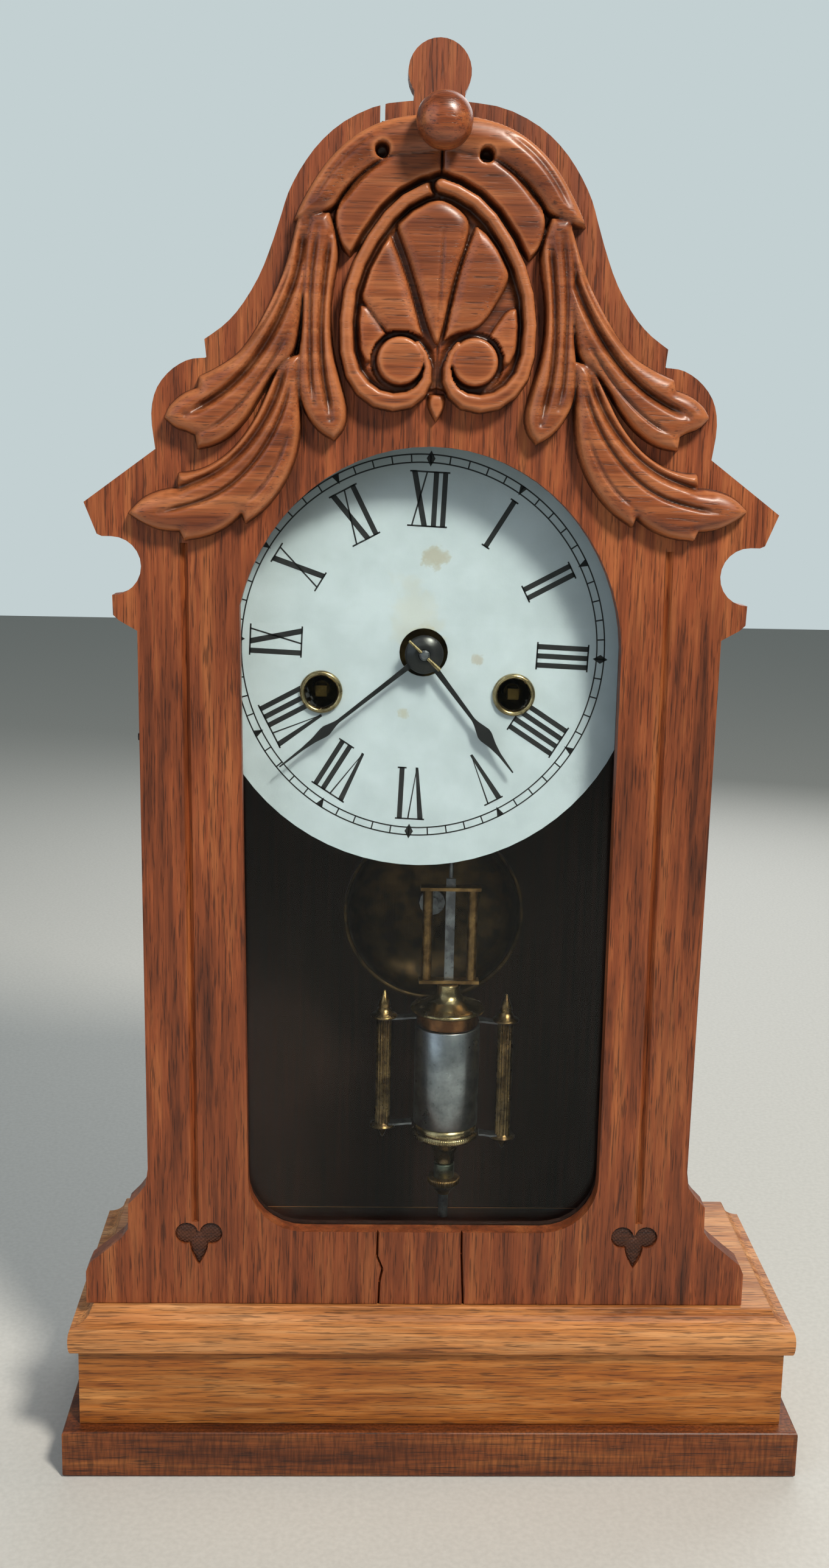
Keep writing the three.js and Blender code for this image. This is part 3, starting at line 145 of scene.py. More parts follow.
LOWER_LEAF = {
    "wall": 4.0, "crown": 7.6, "roll": 5.4, "lift": True,
    "outline": [(43.4, 98), (50, 96), (54.6, 85.4), (58, 77.6), (63.4, 69.6), (69.4, 64), (76, 60.4),
                (83, 59.4), (83.6, 55), (90, 53.6), (95.4, 51), (99.4, 46.4), (95, 43.4), (89, 41),
                (82.8, 40.8), (81.4, 38), (74, 39.2), (67.4, 42.4), (62.6, 46.6), (61.4, 43.8), (56, 47.6),
                (50.4, 54), (46, 62.4), (43.6, 71.6), (43.8, 84)],
    "veins": [(1.3, 3.2, [(48.6, 94), (51.6, 84), (56.4, 74.6), (62.6, 66.6), (69.6, 60.6), (77, 56.8),
                          (87, 53.4)]),
              (0.8, 1.7, [(46.6, 90), (49.4, 79), (54.6, 68.6), (61.6, 59.6), (69.4, 53.4), (78, 49.8),
                          (89, 47)]),
              (0.6, 0.9, [(47, 74), (50.4, 64), (55.6, 55.4), (62, 49.6)])],
}
BED = {
    "wall": 1.8, "crown": 2.2, "roll": 2.0,
    "outline": [(0, 148), (8, 145), (17, 138), (24, 127.6), (28, 117), (29, 106), (28, 94), (22, 86),
                (14, 83.6), (6, 86), (0, 88)],
    "veins": [],
}
PETALS = [
    {"wall": 4.0, "crown": 6.6, "roll": 4.4, "veins": [(0.6, 0.6, [(1, 137), (0.6, 122), (0.2, 108)])],
     "outline": [(0, 101.2), (1.6, 106), (3.4, 115), (5.6, 124), (8.6, 132.6), (9.6, 138.6), (6.8, 142.6),
                 (0, 146.2), (-6.8, 144.6), (-13.4, 140.6), (-14.2, 137), (-10.8, 129.4), (-7.2, 119),
                 (-3.8, 108), (-1.6, 102.6)], "alone": True},
    {"wall": 3.8, "crown": 6.4, "roll": 4.4, "veins": [],
     "outline": [(1.6, 102.4), (6, 105), (11, 106), (14.4, 108), (18, 113.4), (21.8, 120.4), (22.6, 125),
                 (20.4, 130), (16, 135), (11.2, 138.2), (9, 133), (6.2, 124.6), (3.8, 114)], "side": 1},
    {"wall": 3.8, "crown": 6.4, "roll": 4.4, "veins": [],
     "outline": [(4.6, 103.4), (6.2, 108), (8.6, 117), (12, 126.4), (15.8, 135), (19, 134.2), (23, 129.6),
                 (25.4, 122.6), (25.8, 116.4), (21, 109.4), (16.6, 104.8), (10, 105.2)], "side": -1},
    {"wall": 3.4, "crown": 5.2, "roll": 3.6, "veins": [],
     "outline": [(16, 104), (18.6, 108.2), (22, 113), (25.4, 113.4), (26.6, 107), (25.6, 100), (23, 95.4),
                 (20.8, 95.6), (19.6, 99.8)]},
]
# The pointed oval band and the scroll at its foot, as (x, z, half width) along its middle.
BAND = {
    "wall": 5.6, "crown": 7.6, "roll": 2.0,
    "stroke": [(0, 149.8, 2.1), (5, 148.2, 2.1), (11, 145, 2.1), (16.2, 140.2, 2.1), (21.4, 133, 2.1),
               (25.4, 125.6, 2.1), (28.2, 117.2, 2.1), (29.3, 108, 2.2), (28.9, 98.5, 2.3), (27, 92, 2.5),
               (23.6, 87.4, 2.7), (19.2, 84.4, 2.8), (14, 83.3, 2.8), (9, 84.2, 2.6), (5.6, 86.6, 2.3),
               (3.6, 90, 1.9), (3.2, 94, 1.5), (4.2, 98.2, 1.3), (6.4, 101.4, 1.2)],
}
DISC = {"wall": 6.4, "crown": 7.6, "roll": 1.8, "centre": (11.9, 96.2), "radius": 7.6}
BUD = {"wall": 2.6, "crown": 3.8, "roll": 2.0, "veins": [],
       "outline": [(-2.8, 86), (2.8, 86), (2.6, 81.6), (0, 77.4), (-2.6, 81.6)], "alone": True}
EYES = [(-18.7, 159.6), (14.0, 159.0)]
EYE_RADIUS = 2.1
EYE_DEPTH = 6.5
TROUGH_FLOOR = 1.2                 # the groove cut beside the band
TROUGH_REACH = 2.2
DISC_GAP = 1.9                     # the groove round each scroll's button
FORM_MARGIN = 1.5                  # how far past its outline a form is worked out
VEIN_FADE = 6                      # a vein grows shallow this near its ends

# ---- Trefoils, dial print, turned profiles ----
TREFOILS = {"left": (-78.2, -207.5), "right": (78.2, -208.3)}
TREFOIL_SINK = 1.25
RING_TURN = math.radians(2.3)      # the printed ring is set a little clockwise
RING_SHIFT = (-1.0, 1.2)           # and a little off the plate's middle
RING_TALL = 1.03
TRACK_OUTER = 64.2
TRACK_INNER = 61.1
TRACK_LINE = 0.48
NUMERAL_FOOT = 40.4
NUMERAL_HEAD = 58.6
SERIF = 0.55
NUMERALS = ["XII", "I", "II", "III", "IIII", "V", "VI", "VII", "VIII", "IX", "X", "XI"]
LETTER_WIDTH = {"I": 3.1, "V": 7.2, "X": 7.4}
THICK_STROKE = 1.75
THIN_STROKE = 0.55
V_INSET = 1.4
X_INSET = 1.5
INK_LIFT = 0.04
TURNED_STEPS = 96

# ---- Camera and studio ----
CAMERA_PLACE = (-0.0289, -0.5823, 0.3641)
CAMERA_PITCH = math.radians(11.41)
CAMERA_YAW = math.radians(1.887)
CAMERA_ROLL = math.radians(1.188)
SENSOR_HEIGHT = 24.0
LENS = 25.15
ROOM_LIGHT = 0.3                   # the room's share of light; the backdrop itself is seen at full


# ---- Small helpers ----
def linear(hex_colour):
    """A hex colour as the linear values that a shader takes."""
    channels = [int(hex_colour[i:i + 2], 16) / 255 for i in (1, 3, 5)]
    return tuple(c / 12.92 if c <= 0.04045 else ((c + 0.055) / 1.055) ** 2.4 for c in channels) + (1.0,)


def feed(tree, node, **inputs):
    """Sets or links a node's inputs by socket name, with in_0, in_1 and so on for sockets by number and
    spaces written as underscores."""
    for key, value in inputs.items():
        socket = node.inputs[int(key[3:])] if key.startswith("in_") else node.inputs[key.replace("_", " ")]
        if isinstance(value, bpy.types.NodeSocket):
            tree.links.new(value, socket)
        else:
            socket.default_value = value


def add_node(tree, kind, settings=None, **inputs):
    """Adds a shader node. settings are its properties; inputs are values or sockets, as feed takes them."""
    made = tree.nodes.new(kind)
    for key, value in (settings or {}).items():
        setattr(made, key, value)
    feed(tree, made, **inputs)
    return made


def new_material(name):
    """An empty node material and its tree, with the output and a principled shader joined."""
    material = bpy.data.materials.new(name)
    material.use_nodes = True
    tree = material.node_tree
    tree.nodes.clear()
    output = add_node(tree, "ShaderNodeOutputMaterial")
    shader = add_node(tree, "ShaderNodeBsdfPrincipled")
    tree.links.new(shader.outputs[0], output.inputs["Surface"])
    return material, tree, shader


def ramp(tree, value, stops, interpolation="LINEAR"):
    """A colour ramp's colour for a value, from (position, hex colour or grey level) stops."""
    made = add_node(tree, "ShaderNodeValToRGB", in_0=value)
    made.color_ramp.interpolation = interpolation
    elements = made.color_ramp.elements
    while len(elements) < len(stops):
        elements.new(0.5)
    for element, (position, colour) in zip(elements, stops):
        element.position = position
        element.color = linear(colour) if isinstance(colour, str) else (colour, colour, colour, 1)
    return made.outputs[0]


def mix(tree, blend, factor, first, second):
    """Two colours mixed by a blend mode."""
    settings = {"data_type": "RGBA", "blend_type": blend}
    return add_node(tree, "ShaderNodeMix", settings, in_0=factor, in_6=first, in_7=second).outputs[2]


def math_node(tree, operation, first, second=0.0, third=0.0):
    settings = {"operation": operation}
    return add_node(tree, "ShaderNodeMath", settings, in_0=first, in_1=second, in_2=third).outputs[0]


def noise(tree, vector, size_mm, detail=2.0, rough=0.5, distortion=0.0):
    """Noise whose lumps are about size_mm across, over a vector in metres."""
    made = add_node(tree, "ShaderNodeTexNoise", Vector=vector, Scale=1 / (size_mm * MM), Detail=detail,
                    Roughness=rough, Distortion=distortion)
    return made.outputs[0]


def stretched(tree, stretch=(1, 1, 1)):
    """The piece's own coordinates in metres, shrunk along each axis by stretch, so patterns lengthen."""
    coordinates = add_node(tree, "ShaderNodeTexCoord").outputs["Object"]
    return add_node(tree, "ShaderNodeMapping", Vector=coordinates, Scale=stretch).outputs[0]


def bump(tree, height, depth_mm, normal=None):
    settings = {} if normal is None else {"Normal": normal}
    made = add_node(tree, "ShaderNodeBump", Height=height, Strength=1.0, Distance=depth_mm * MM, **settings)
    return made.outputs[0]


# ---- Finishes ----
def along(axis, length):
    """Scales that lengthen a pattern along one axis by that many times."""
    return tuple(1 / length if i == "XYZ".index(axis) else 1.0 for i in range(3))


def inside_case(tree):
    """A mask that is one on the part of the base that the case closes in, which is darkened nearly black as
    painted shade.
    """
    low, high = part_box("case_top")
    axes = add_node(tree, "ShaderNodeSeparateXYZ",
                    in_0=add_node(tree, "ShaderNodeTexCoord").outputs["Object"]).outputs
    middle, half = (low[0] + high[0]) / 2, (high[0] - low[0]) / 2
    off = math_node(tree, "ABSOLUTE", math_node(tree, "SUBTRACT", axes[0], middle))
    across = math_node(tree, "LESS_THAN", off, half)
    behind = math_node(tree, "GREATER_THAN", axes[1], BOARD_LOW[1] + 0.001)
    before = math_node(tree, "LESS_THAN", axes[1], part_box("back_board")[0][1])
    return math_node(tree, "MULTIPLY", across, math_node(tree, "MULTIPLY", behind, before))


def wood(name, tones, axis, figure_mm=9.0, pore_depth=0.04, pore_share=0.5, gloss=0.48, coat=0.12,
         hollows=False, ray=0.0, shade_inside_case=False):
    """Open-pored wood with its grain along one axis: broad figure, fine fibres and dark pore lines, under a
    worn clear finish.
    tones are dark, middle and light. Where asked, it paints shade and dirt into a carving's hollows, wear
    and a highlight onto its crests, and shade onto the part that lies inside the case."""
    material, tree, shader = new_material(name)
    dark, middle, light = tones
    grain = stretched(tree, along(axis, 14))
    fibre_space = stretched(tree, along(axis, 40))
    figure = noise(tree, grain, figure_mm, detail=5, rough=0.65, distortion=0.4)
    fibres = noise(tree, fibre_space, 0.8, detail=4, rough=0.7)
    pores = noise(tree, stretched(tree, along(axis, 22)), 0.55, detail=2, rough=0.6)
    colour = ramp(tree, figure, [(0.30, dark), (0.50, middle), (0.72, light)])
    fibre_tone = ramp(tree, fibres, [(0.34, 0.5), (0.50, 0.88), (0.66, 1.1)])
    colour = mix(tree, "MULTIPLY", 0.75, colour, fibre_tone)
    edge = 0.34 + 0.12 * pore_share
    pore_tone = ramp(tree, pores, [(edge - 0.05, 0.30), (edge + 0.03, 1.0)])
    colour = mix(tree, "MULTIPLY", 0.8, colour, pore_tone)
    blotches = noise(tree, stretched(tree), 60, detail=2)
    colour = mix(tree, "MULTIPLY", 0.55, colour, ramp(tree, blotches, [(0.35, 0.72), (0.62, 1.08)]))
    if ray:
        across = noise(tree, stretched(tree, along("Z", 8)), 1.1, detail=2)
        colour = mix(tree, "MULTIPLY", ray, colour, ramp(tree, across, [(0.38, 0.35), (0.60, 1.15)]))
    if hollows:
        hollow = add_node(tree, "ShaderNodeAttribute", {"attribute_name": "hollow"}).outputs["Fac"]
        # Painted shade and dirt: the carving's hollows are darkened.
        hollow_shade_and_dirt = ramp(tree, hollow, [(0.46, 1.0), (0.60, 0.40), (0.85, 0.12)])
        colour = mix(tree, "MULTIPLY", 0.9, colour, hollow_shade_and_dirt)
        # Wear and a painted highlight: the carving's crests are lightened toward the light tone.
        worn = ramp(tree, hollow, [(0.30, 0.55), (0.44, 0.0)])
        colour = mix(tree, "MIX", worn, colour, linear(light))
    if shade_inside_case:
        # Painted shade: what lies inside the closed case is darkened nearly black.
        colour = mix(tree, "MULTIPLY", inside_case(tree), colour, linear("#2a1a16"))
    rough = math_node(tree, "MULTIPLY_ADD", fibres, 0.22, gloss - 0.11)
    surface = bump(tree, pore_tone, pore_depth * 2, bump(tree, fibres, 0.04))
    feed(tree, shader, Base_Color=colour, Roughness=rough, Coat_Weight=coat, Coat_Roughness=0.28,
         Specular_IOR_Level=0.35, Normal=surface)
    return material


def metal(name, tones, rough, pits, spots="#2c2118", tarnish=0.4):
    """Old metal: a patchy tone from clean to tarnished, fine upright scratches and dark spots."""
    material, tree, shader = new_material(name)
    dull, clean = tones
    patches = noise(tree, stretched(tree), 7, detail=4, rough=0.65)
    colour = ramp(tree, patches, [(0.5 - 0.25 * tarnish, dull), (0.5 + 0.2, clean)])
    specks = noise(tree, stretched(tree), 1.3, detail=1)
    spotted = ramp(tree, specks, [(0.66, 0.0), (0.72, 1.0)])
    colour = mix(tree, "MIX", math_node(tree, "MULTIPLY", spotted, pits), colour, linear(spots))
    lines = noise(tree, stretched(tree, along("Z", 30)), 0.5, detail=2)
    spread = math_node(tree, "MULTIPLY_ADD", patches, -0.3, rough + 0.17)
    feed(tree, shader, Base_Color=colour, Metallic=1.0, Roughness=spread, Normal=bump(tree, lines, 0.03))
    return material


def glass_finish():
    """Old sheet glass: clear and faintly green. Light from the lamps passes straight in."""
    material, tree, shader = new_material("old sheet glass")
    feed(tree, shader, Base_Color=linear("#f4faf8"), Transmission_Weight=1.0, Roughness=0.0, IOR=1.2)
    clear = add_node(tree, "ShaderNodeBsdfTransparent", Color=linear("#f2f7f5"))
    shadow = add_node(tree, "ShaderNodeLightPath").outputs["Is Shadow Ray"]
    both = add_node(tree, "ShaderNodeMixShader", in_0=shadow, in_1=shader.outputs[0], in_2=clear.outputs[0])
    tree.links.new(both.outputs[0], tree.nodes["Material Output"].inputs["Surface"])
    return material


def dial_paint():
    """Off-white dial paint with brown stains round the centre and a scuff."""
    material, tree, shader = new_material("stained dial paint")
    here = stretched(tree)
    mottle = noise(tree, here, 16, detail=4, rough=0.6)
    colour = ramp(tree, mottle, [(0.35, "#a9b2b9"), (0.65, "#b4bdc5")])
    stains = [((HAND_AXIS.x, 2), 17, 0.45, "#a8946c"), ((2, 33), 10, 0.55, "#96855c"),
              ((17, -2), 5, 0.45, "#947c50"), ((-8, -21), 4.5, 0.6, "#a49c82"),
              ((-5, 14), 26, 0.25, "#b5a888")]
    for (x, z), radius, strength, tone in stains:
        middle = place(x, DIAL_FACE, z)
        offset = add_node(tree, "ShaderNodeVectorMath", {"operation": "DISTANCE"}, in_0=here, in_1=middle)
        near = math_node(tree, "DIVIDE", offset.outputs["Value"], radius * MM)
        blotch = noise(tree, here, radius * 0.55, detail=4, rough=0.7)
        ragged = math_node(tree, "ADD", near, math_node(tree, "MULTIPLY", blotch, 1.1))
        share = ramp(tree, ragged, [(0.75, strength), (1.0, strength * 0.45)])
        faded = mix(tree, "MULTIPLY", 1.0, share, ramp(tree, ragged, [(0.9, 1.0), (1.0, 0.0)]))
        colour = mix(tree, "MIX", faded, colour, linear(tone))
    grit = bump(tree, noise(tree, here, 0.8, detail=2), 0.03)
    feed(tree, shader, Base_Color=colour, Roughness=0.5, Normal=grit)
    return material


def black_finish(name, rough):
    """Black ink or blacked steel, with a faint unevenness."""
    material, tree, shader = new_material(name)
    tone = noise(tree, stretched(tree), 3, detail=3)
    colour = ramp(tree, tone, [(0.3, "#0a0a0c"), (0.8, "#1d1c1e")])
    feed(tree, shader, Base_Color=colour, Roughness=rough, Normal=bump(tree, tone, 0.02))
    return material


def floor_finish():
    """A plain pale matt floor."""
    material, tree, shader = new_material("pale studio floor")
    grit = noise(tree, stretched(tree), 2, detail=2)
    feed(tree, shader, Base_Color=ramp(tree, grit, [(0.3, "#c9c9c4"), (0.7, "#d2d2cd")]), Roughness=0.7)
    return material


def case_finish():
    """Case wood darkened nearly black as painted shade for the inside of the closed case: a dull flat
    brown-black with faint upright fibres.
    """
    material, tree, shader = new_material("case wood in painted shade")
    fibres = noise(tree, stretched(tree, along("Z", 30)), 1.6, detail=3)
    colour = ramp(tree, fibres, [(0.3, "#160906"), (0.7, "#29140e")])
    feed(tree, shader, Base_Color=colour, Roughness=0.7, Specular_IOR_Level=0.25)
    return material


WALNUT = ("#50240e", "#8a4522", "#b06839")
# Each wood's tones, grain axis and settings, and what it gives the eye.
WOODS = {
    # Upright red-brown grain with dark pore lines, and a soft worn light on it.
    "board": ("walnut, worn shellac", WALNUT, "Z", {"figure_mm": 7, "pore_depth": 0.06}),
    # Warm crests with a satin light. The cuts are darkened with painted shade and dirt, and the crests are
    # lightened with wear and a painted highlight.
    "carving": ("carved walnut, shellac", ("#5e2a13", "#904c26", "#b87245"), "X",
                {"figure_mm": 8, "pore_depth": 0.03, "pore_share": 0.25, "gloss": 0.4, "coat": 0.25,
                 "hollows": True}),
    # A darker brown, nearly matt: painted shade that makes the punched leaves sink back.
    "stippled": ("stippled walnut in painted shade", ("#2c150b", "#4a2614", "#643720"), "X",
                 {"figure_mm": 6, "pore_depth": 0.02, "gloss": 0.5, "coat": 0.1}),
    # The shiniest wood here, with one clear highlight on its dome.
    "turned": ("turned walnut, shellac", WALNUT, "X",
               {"figure_mm": 5, "pore_depth": 0.02, "gloss": 0.3, "coat": 0.5}),
    # Golden brown with fine streaks from side to side.
    "frieze": ("golden mahogany frieze", ("#8a4815", "#b26b2b", "#ce8e4e"), "X",
               {"figure_mm": 4, "pore_share": 0.7}),
    # The palest wood, orange-gold with short dark flecks; the part inside the case is darkened nearly black
    # as painted shade.
    "moulding": ("golden mahogany moulding", ("#9c5826", "#cd884c", "#ecb076"), "X",
                 {"figure_mm": 8, "pore_share": 0.75, "shade_inside_case": True}),
    # Dark brown crossed by fine upright lines, like woven cloth.
    "plinth": ("dark plinth veneer", ("#4a1e06", "#7c401a", "#a2622f"), "X",
               {"figure_mm": 8, "ray": 0.6, "gloss": 0.5, "coat": 0.1}),
}
# Each metal's dull and clean tones, roughness and share of pits, and what it gives the eye.
METALS = {
    # Pale gold with small pits and a crisp highlight.
    "brass": ("clean old brass", ("#7c6c4e", "#cdb88c"), 0.24, 0.5),
    # A red-brown ring between two paler metals.
    "copper brass": ("coppery brass band", ("#5c3a24", "#a2714a"), 0.36, 0.4),
    # Brown-gold, blotched, with a broad soft light.
    "dull brass": ("dull brown brass", ("#5a4226", "#a68254"), 0.36, 0.6),
    # Dark flutes with thin bright lines on their crests.
    "dark bronze": ("dark bronzed brass", ("#3a2b1c", "#94774e"), 0.28, 0.6),
    # A dull grey-green with hardly any shine.
    "grey green brass": ("grey-green brass", ("#454a40", "#7f8474"), 0.4, 0.3),
    # Dark brass, so that the works stay in shadow behind the dial.
    "works": ("shaded works brass", ("#2c2210", "#5c4a28"), 0.45, 0.4),
    # Nearly black, with a faint brown glow and a thin light on the rim.
    "bell": ("spun bell metal", ("#1e1710", "#4d3c26"), 0.42, 0.4),
    # Plain mid grey with fine lines.
    "steel": ("bare grey steel", ("#55555a", "#8b8d92"), 0.38, 0.5),
}


def make_finishes():
    """Every finish of the clock by a short name."""
    woods = {key: wood(name, tones, axis, **settings)
             for key, (name, tones, axis, settings) in WOODS.items()}
    metals = {key: metal(*settings) for key, settings in METALS.items()}
    others = {
        "case": case_finish(),
        "glass": glass_finish(),
        "dial": dial_paint(),
        "ink": black_finish("dial ink", 0.45),
        "black steel": black_finish("blacked steel", 0.3),
        # Cold pale grey, cloudy with scuffs.
        "silvered": metal("scuffed silvered tube", ("#7d7f84", "#a9acb1"), 0.3, 0.25, "#3a3b40", 0.7),
    }
    return {**woods, **metals, **others}


FINISH = make_finishes()
NODE_FINISH = {
    "board": ["door_board"],
    "frieze": ["frieze"],
    "moulding": ["top_moulding"],
    "plinth": ["plinth"],
    # These case parts get the nearly black finish that paints the shade inside the case.
    "case": ["case_side_left", "case_side_right", "case_top", "back_board", "dial_rail_left",
             "dial_rail_right", "glass_retainer"],
    "glass": ["window_glass"],
    "dial": ["dial_plate"],
    "black steel": ["hour_hand", "minute_hand", "latch_hook"],
    "brass": ["taper_pin", "suspension_cock"],
    "works": ["front_plate", "back_plate", "time_great_wheel", "strike_great_wheel", "time_second_wheel",
              "strike_second_wheel", "fourth_wheel", "escape_wheel", "hour_wheel", "minute_wheel",
              "strike_fly"],
    "dull brass": ["upper_hinge_case_leaf", "upper_hinge_door_leaf", "lower_hinge_case_leaf",
                   "lower_hinge_door_leaf", "latch_pivot", "latch_eye", "pendulum_frame"],
    "steel": ["pillar_upper_left", "pillar_upper_right", "pillar_lower_left", "pillar_lower_right",
              "time_mainspring", "strike_mainspring", "centre_arbor", "verge", "bell_standard", "hammer",
              "pendulum_wire", "pendulum_strap"],
}
SOFTENED = {"door_board": 0.7, "frieze": 0.5, "plinth": 0.4, "top_moulding": 0.4, "dial_plate": 0.15,
            "hour_hand": 0.15, "minute_hand": 0.15, "pendulum_frame": 0.3, "case_top": 0.6,
            "case_side_left": 0.6, "case_side_right": 0.6, "back_board": 0.6}


def finish_node(node, finish):
    """Gives a node its finish and, where it shows, softens its sharp edges."""
    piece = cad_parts[node]
    piece.data.materials.clear()
    piece.data.materials.append(FINISH[finish])
    if node in SOFTENED:
        soften_edges(piece, SOFTENED[node])


def soften_edges(piece, width_mm, segments=2):
    bevel = piece.modifiers.new("worn edges", "BEVEL")
    bevel.width = width_mm * MM
    bevel.segments = segments
    bevel.limit_method = "ANGLE"
    bevel.angle_limit = math.radians(38)
    bevel.use_clamp_overlap = True


# ---- Meshes ----
def new_piece(name, vertices, faces, finish, body, smooth=True):
    """A mesh from points in metres in the row frame, riding on a body."""
    mesh = bpy.data.meshes.new(name)
    mesh.from_pydata([tuple(v) for v in vertices], [], faces)
    mesh.update()
    if smooth:
        mesh.polygons.foreach_set("use_smooth", [True] * len(mesh.polygons))
    piece = bpy.data.objects.new(name, mesh)
    bpy.context.scene.collection.objects.link(piece)
    mesh.materials.append(FINISH[finish])
    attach(piece, body)
    return piece


def face_outward(piece):
    """Turns a closed mesh's faces outward."""
    work = bmesh.new()
    work.from_mesh(piece.data)
    bmesh.ops.recalc_face_normals(work, faces=work.faces)
    work.to_mesh(piece.data)
    work.free()


def turned(name, profile, at, axis, finish, body, steps=TURNED_STEPS, ripple=None):
    """A turned piece from (radius, along) points in mm. The axis runs along Y (depth) or Z through at.
    ripple(angle, radius, along) may change a radius, for knurls and flutes."""
    rings = []
    vertices = []
    for radius, level in profile:
        count = 1 if radius == 0 else steps
        rings.append((len(vertices), count))
        for i in range(count):
            angle = 2 * math.pi * i / steps
            reach = ripple(angle, radius, level) if ripple and radius else radius
            across, other = reach * math.cos(angle), reach * math.sin(angle)
            if axis == "Y":
                vertices.append(place(at[0] + across, level, at[2] + other))
            else:
                vertices.append(place(at[0] + across, at[1] + other, level))
    faces = []
    for (start, count), (after, next_count) in zip(rings, rings[1:]):
        for i in range(steps):
            j = (i + 1) % steps
            corners = [start + (i if count > 1 else 0), start + (j if count > 1 else 0),
                       after + (j if next_count > 1 else 0), after + (i if next_count > 1 else 0)]
            face = list(dict.fromkeys(corners))
            if len(face) > 2:
                faces.append(face)
    piece = new_piece(name, vertices, faces, finish, body)
    face_outward(piece)
    return piece


def from_level(level, points):
    """Profile points given as (radius, height above a level), with minus heights below it."""
    return [(radius, level + height) for radius, height in points]


def smooth_profile(points, count=6):
    """A profile with points added along a smooth curve through the given ones."""
    result = []
    for i in range(len(points) - 1):
        before = points[max(i - 1, 0)]
        start, end = points[i], points[i + 1]
        after = points[min(i + 2, len(points) - 1)]
        for step in range(count):
            t = step / count
            result.append(tuple(
                0.5 * (2 * b + (c - a) * t + (2 * a - 5 * b + 4 * c - d) * t * t
                       + (3 * b - a - 3 * c + d) * t ** 3)
                for a, b, c, d in zip(before, start, end, after)))
    result.append(points[-1])
    return [(max(radius, 0.0), level) for radius, level in result]


# ---- Relief carving ----
def flowing(points, closed=True, count=4):
    """A line with its gentle corners rounded and its sharp ones kept."""
    points = [np.array(p[:2], float) for p in points]
    total = len(points)
    result = []
    for i in range(total):
        if not closed and i in (0, total - 1):
            result.append(points[i])
            continue
        before, here, after = points[i - 1], points[i], points[(i + 1) % total]
        incoming, outgoing = here - before, after - here
        cross = incoming[0] * outgoing[1] - incoming[1] * outgoing[0]
        turn = abs(math.atan2(cross, incoming @ outgoing))
        if turn > SHARP_TURN:
            result.append(here)
            continue
        start, end = (before + here) / 2, (here + after) / 2
        for step in range(count + 1):
            t = step / count
            result.append((1 - t) ** 2 * start + 2 * t * (1 - t) * here + t * t * end)
    return np.array(result)


def distance_to_line(x, z, line, closed):
    """Each point's distance to a line of segments."""
    best = np.full(x.shape, 1e9)
    ends = np.roll(line, -1, axis=0) if closed else line[1:]
    for (ax, az), (bx, bz) in zip(line, ends):
        run = np.array([bx - ax, bz - az])
        length = max(run @ run, 1e-12)
        t = np.clip(((x - ax) * run[0] + (z - az) * run[1]) / length, 0, 1)
        best = np.minimum(best, (x - ax - t * run[0]) ** 2 + (z - az - t * run[1]) ** 2)
    return np.sqrt(best)


def depth_inside(x, z, outline):
    """How far each point lies inside an outline; negative outside it."""
    inside = np.zeros(x.shape, bool)
    for (ax, az), (bx, bz) in zip(outline, np.roll(outline, -1, axis=0)):
        if az == bz:
            continue
        crosses = (az > z) != (bz > z)
        inside ^= crosses & (x < (bx - ax) * (z - az) / (bz - az) + ax)
    distance = distance_to_line(x, z, outline, True)
    return np.where(inside, distance, -distance)


def depth_in_stroke(x, z, stroke):
    """How far each point lies inside a band of changing half width."""
    best = np.full(x.shape, -1e9)
    for (ax, az, aw), (bx, bz, bw) in zip(stroke, stroke[1:]):
        run = np.array([bx - ax, bz - az])
        t = np.clip(((x - ax) * run[0] + (z - az) * run[1]) / (run @ run), 0, 1)
        distance = np.hypot(x - ax - t * run[0], z - az - t * run[1])
        best = np.maximum(best, aw + (bw - aw) * t - distance)
    return best


def rise(depth, form):
    """The height of a form: a steep wall, then a crown that rounds over."""
    wall = np.clip((depth + 0.5) / 1.0, 0, 1)
    inward = np.clip(depth / form["roll"], 0, 1)
    crown = np.sqrt(1 - (1 - inward) ** 2)
    return FLOOR + (form["wall"] - FLOOR) * wall + (form["crown"] - form["wall"]) * crown


def lifted(points, side, form):
    """A form's points on one side of the door, with the right-hand sprays raised."""
    angle = RIGHT_LIFT if form.get("lift") and side > 0 else 0.0
    hub = np.array(LIFT_HUB)
    turn = np.array([[math.cos(angle), -math.sin(angle)], [math.sin(angle), math.cos(angle)]])
    moved = (np.array([p[:2] for p in points], float) - hub) @ turn.T + hub
    moved[:, 0] *= side
    return moved


def carve_form(height, x, z, form, side):
    """Raises one form out of the ground, with its veins cut in."""
    outline = flowing(lifted(form["outline"], side, form))
    low, high = outline.min(axis=0) - FORM_MARGIN, outline.max(axis=0) + FORM_MARGIN
    near = (x > low[0]) & (x < high[0]) & (z > low[1]) & (z < high[1])
    px, pz = x[near], z[near]
    raised = rise(depth_inside(px, pz, outline), form)
    for half_width, depth, points in form["veins"]:
        line = flowing(lifted(points, side, form), closed=False)
        to_ends = [np.hypot(px - end_x, pz - end_z) for end_x, end_z in (line[0], line[-1])]
        fade = np.clip(np.minimum(*to_ends) / VEIN_FADE, 0.25, 1)
        raised -= depth * fade * np.exp(-(distance_to_line(px, pz, line, False) / half_width) ** 2)
    height[near] = np.maximum(height[near], raised)


def blurred(height, reach):
    """Each height averaged with its neighbours, reach cells each way."""
    result = height.copy()
    for axis in (0, 1):
        total = np.zeros_like(result)
        for shift in range(-reach, reach + 1):
            total += np.roll(result, shift, axis=axis)
        result = total / (2 * reach + 1)
    return result


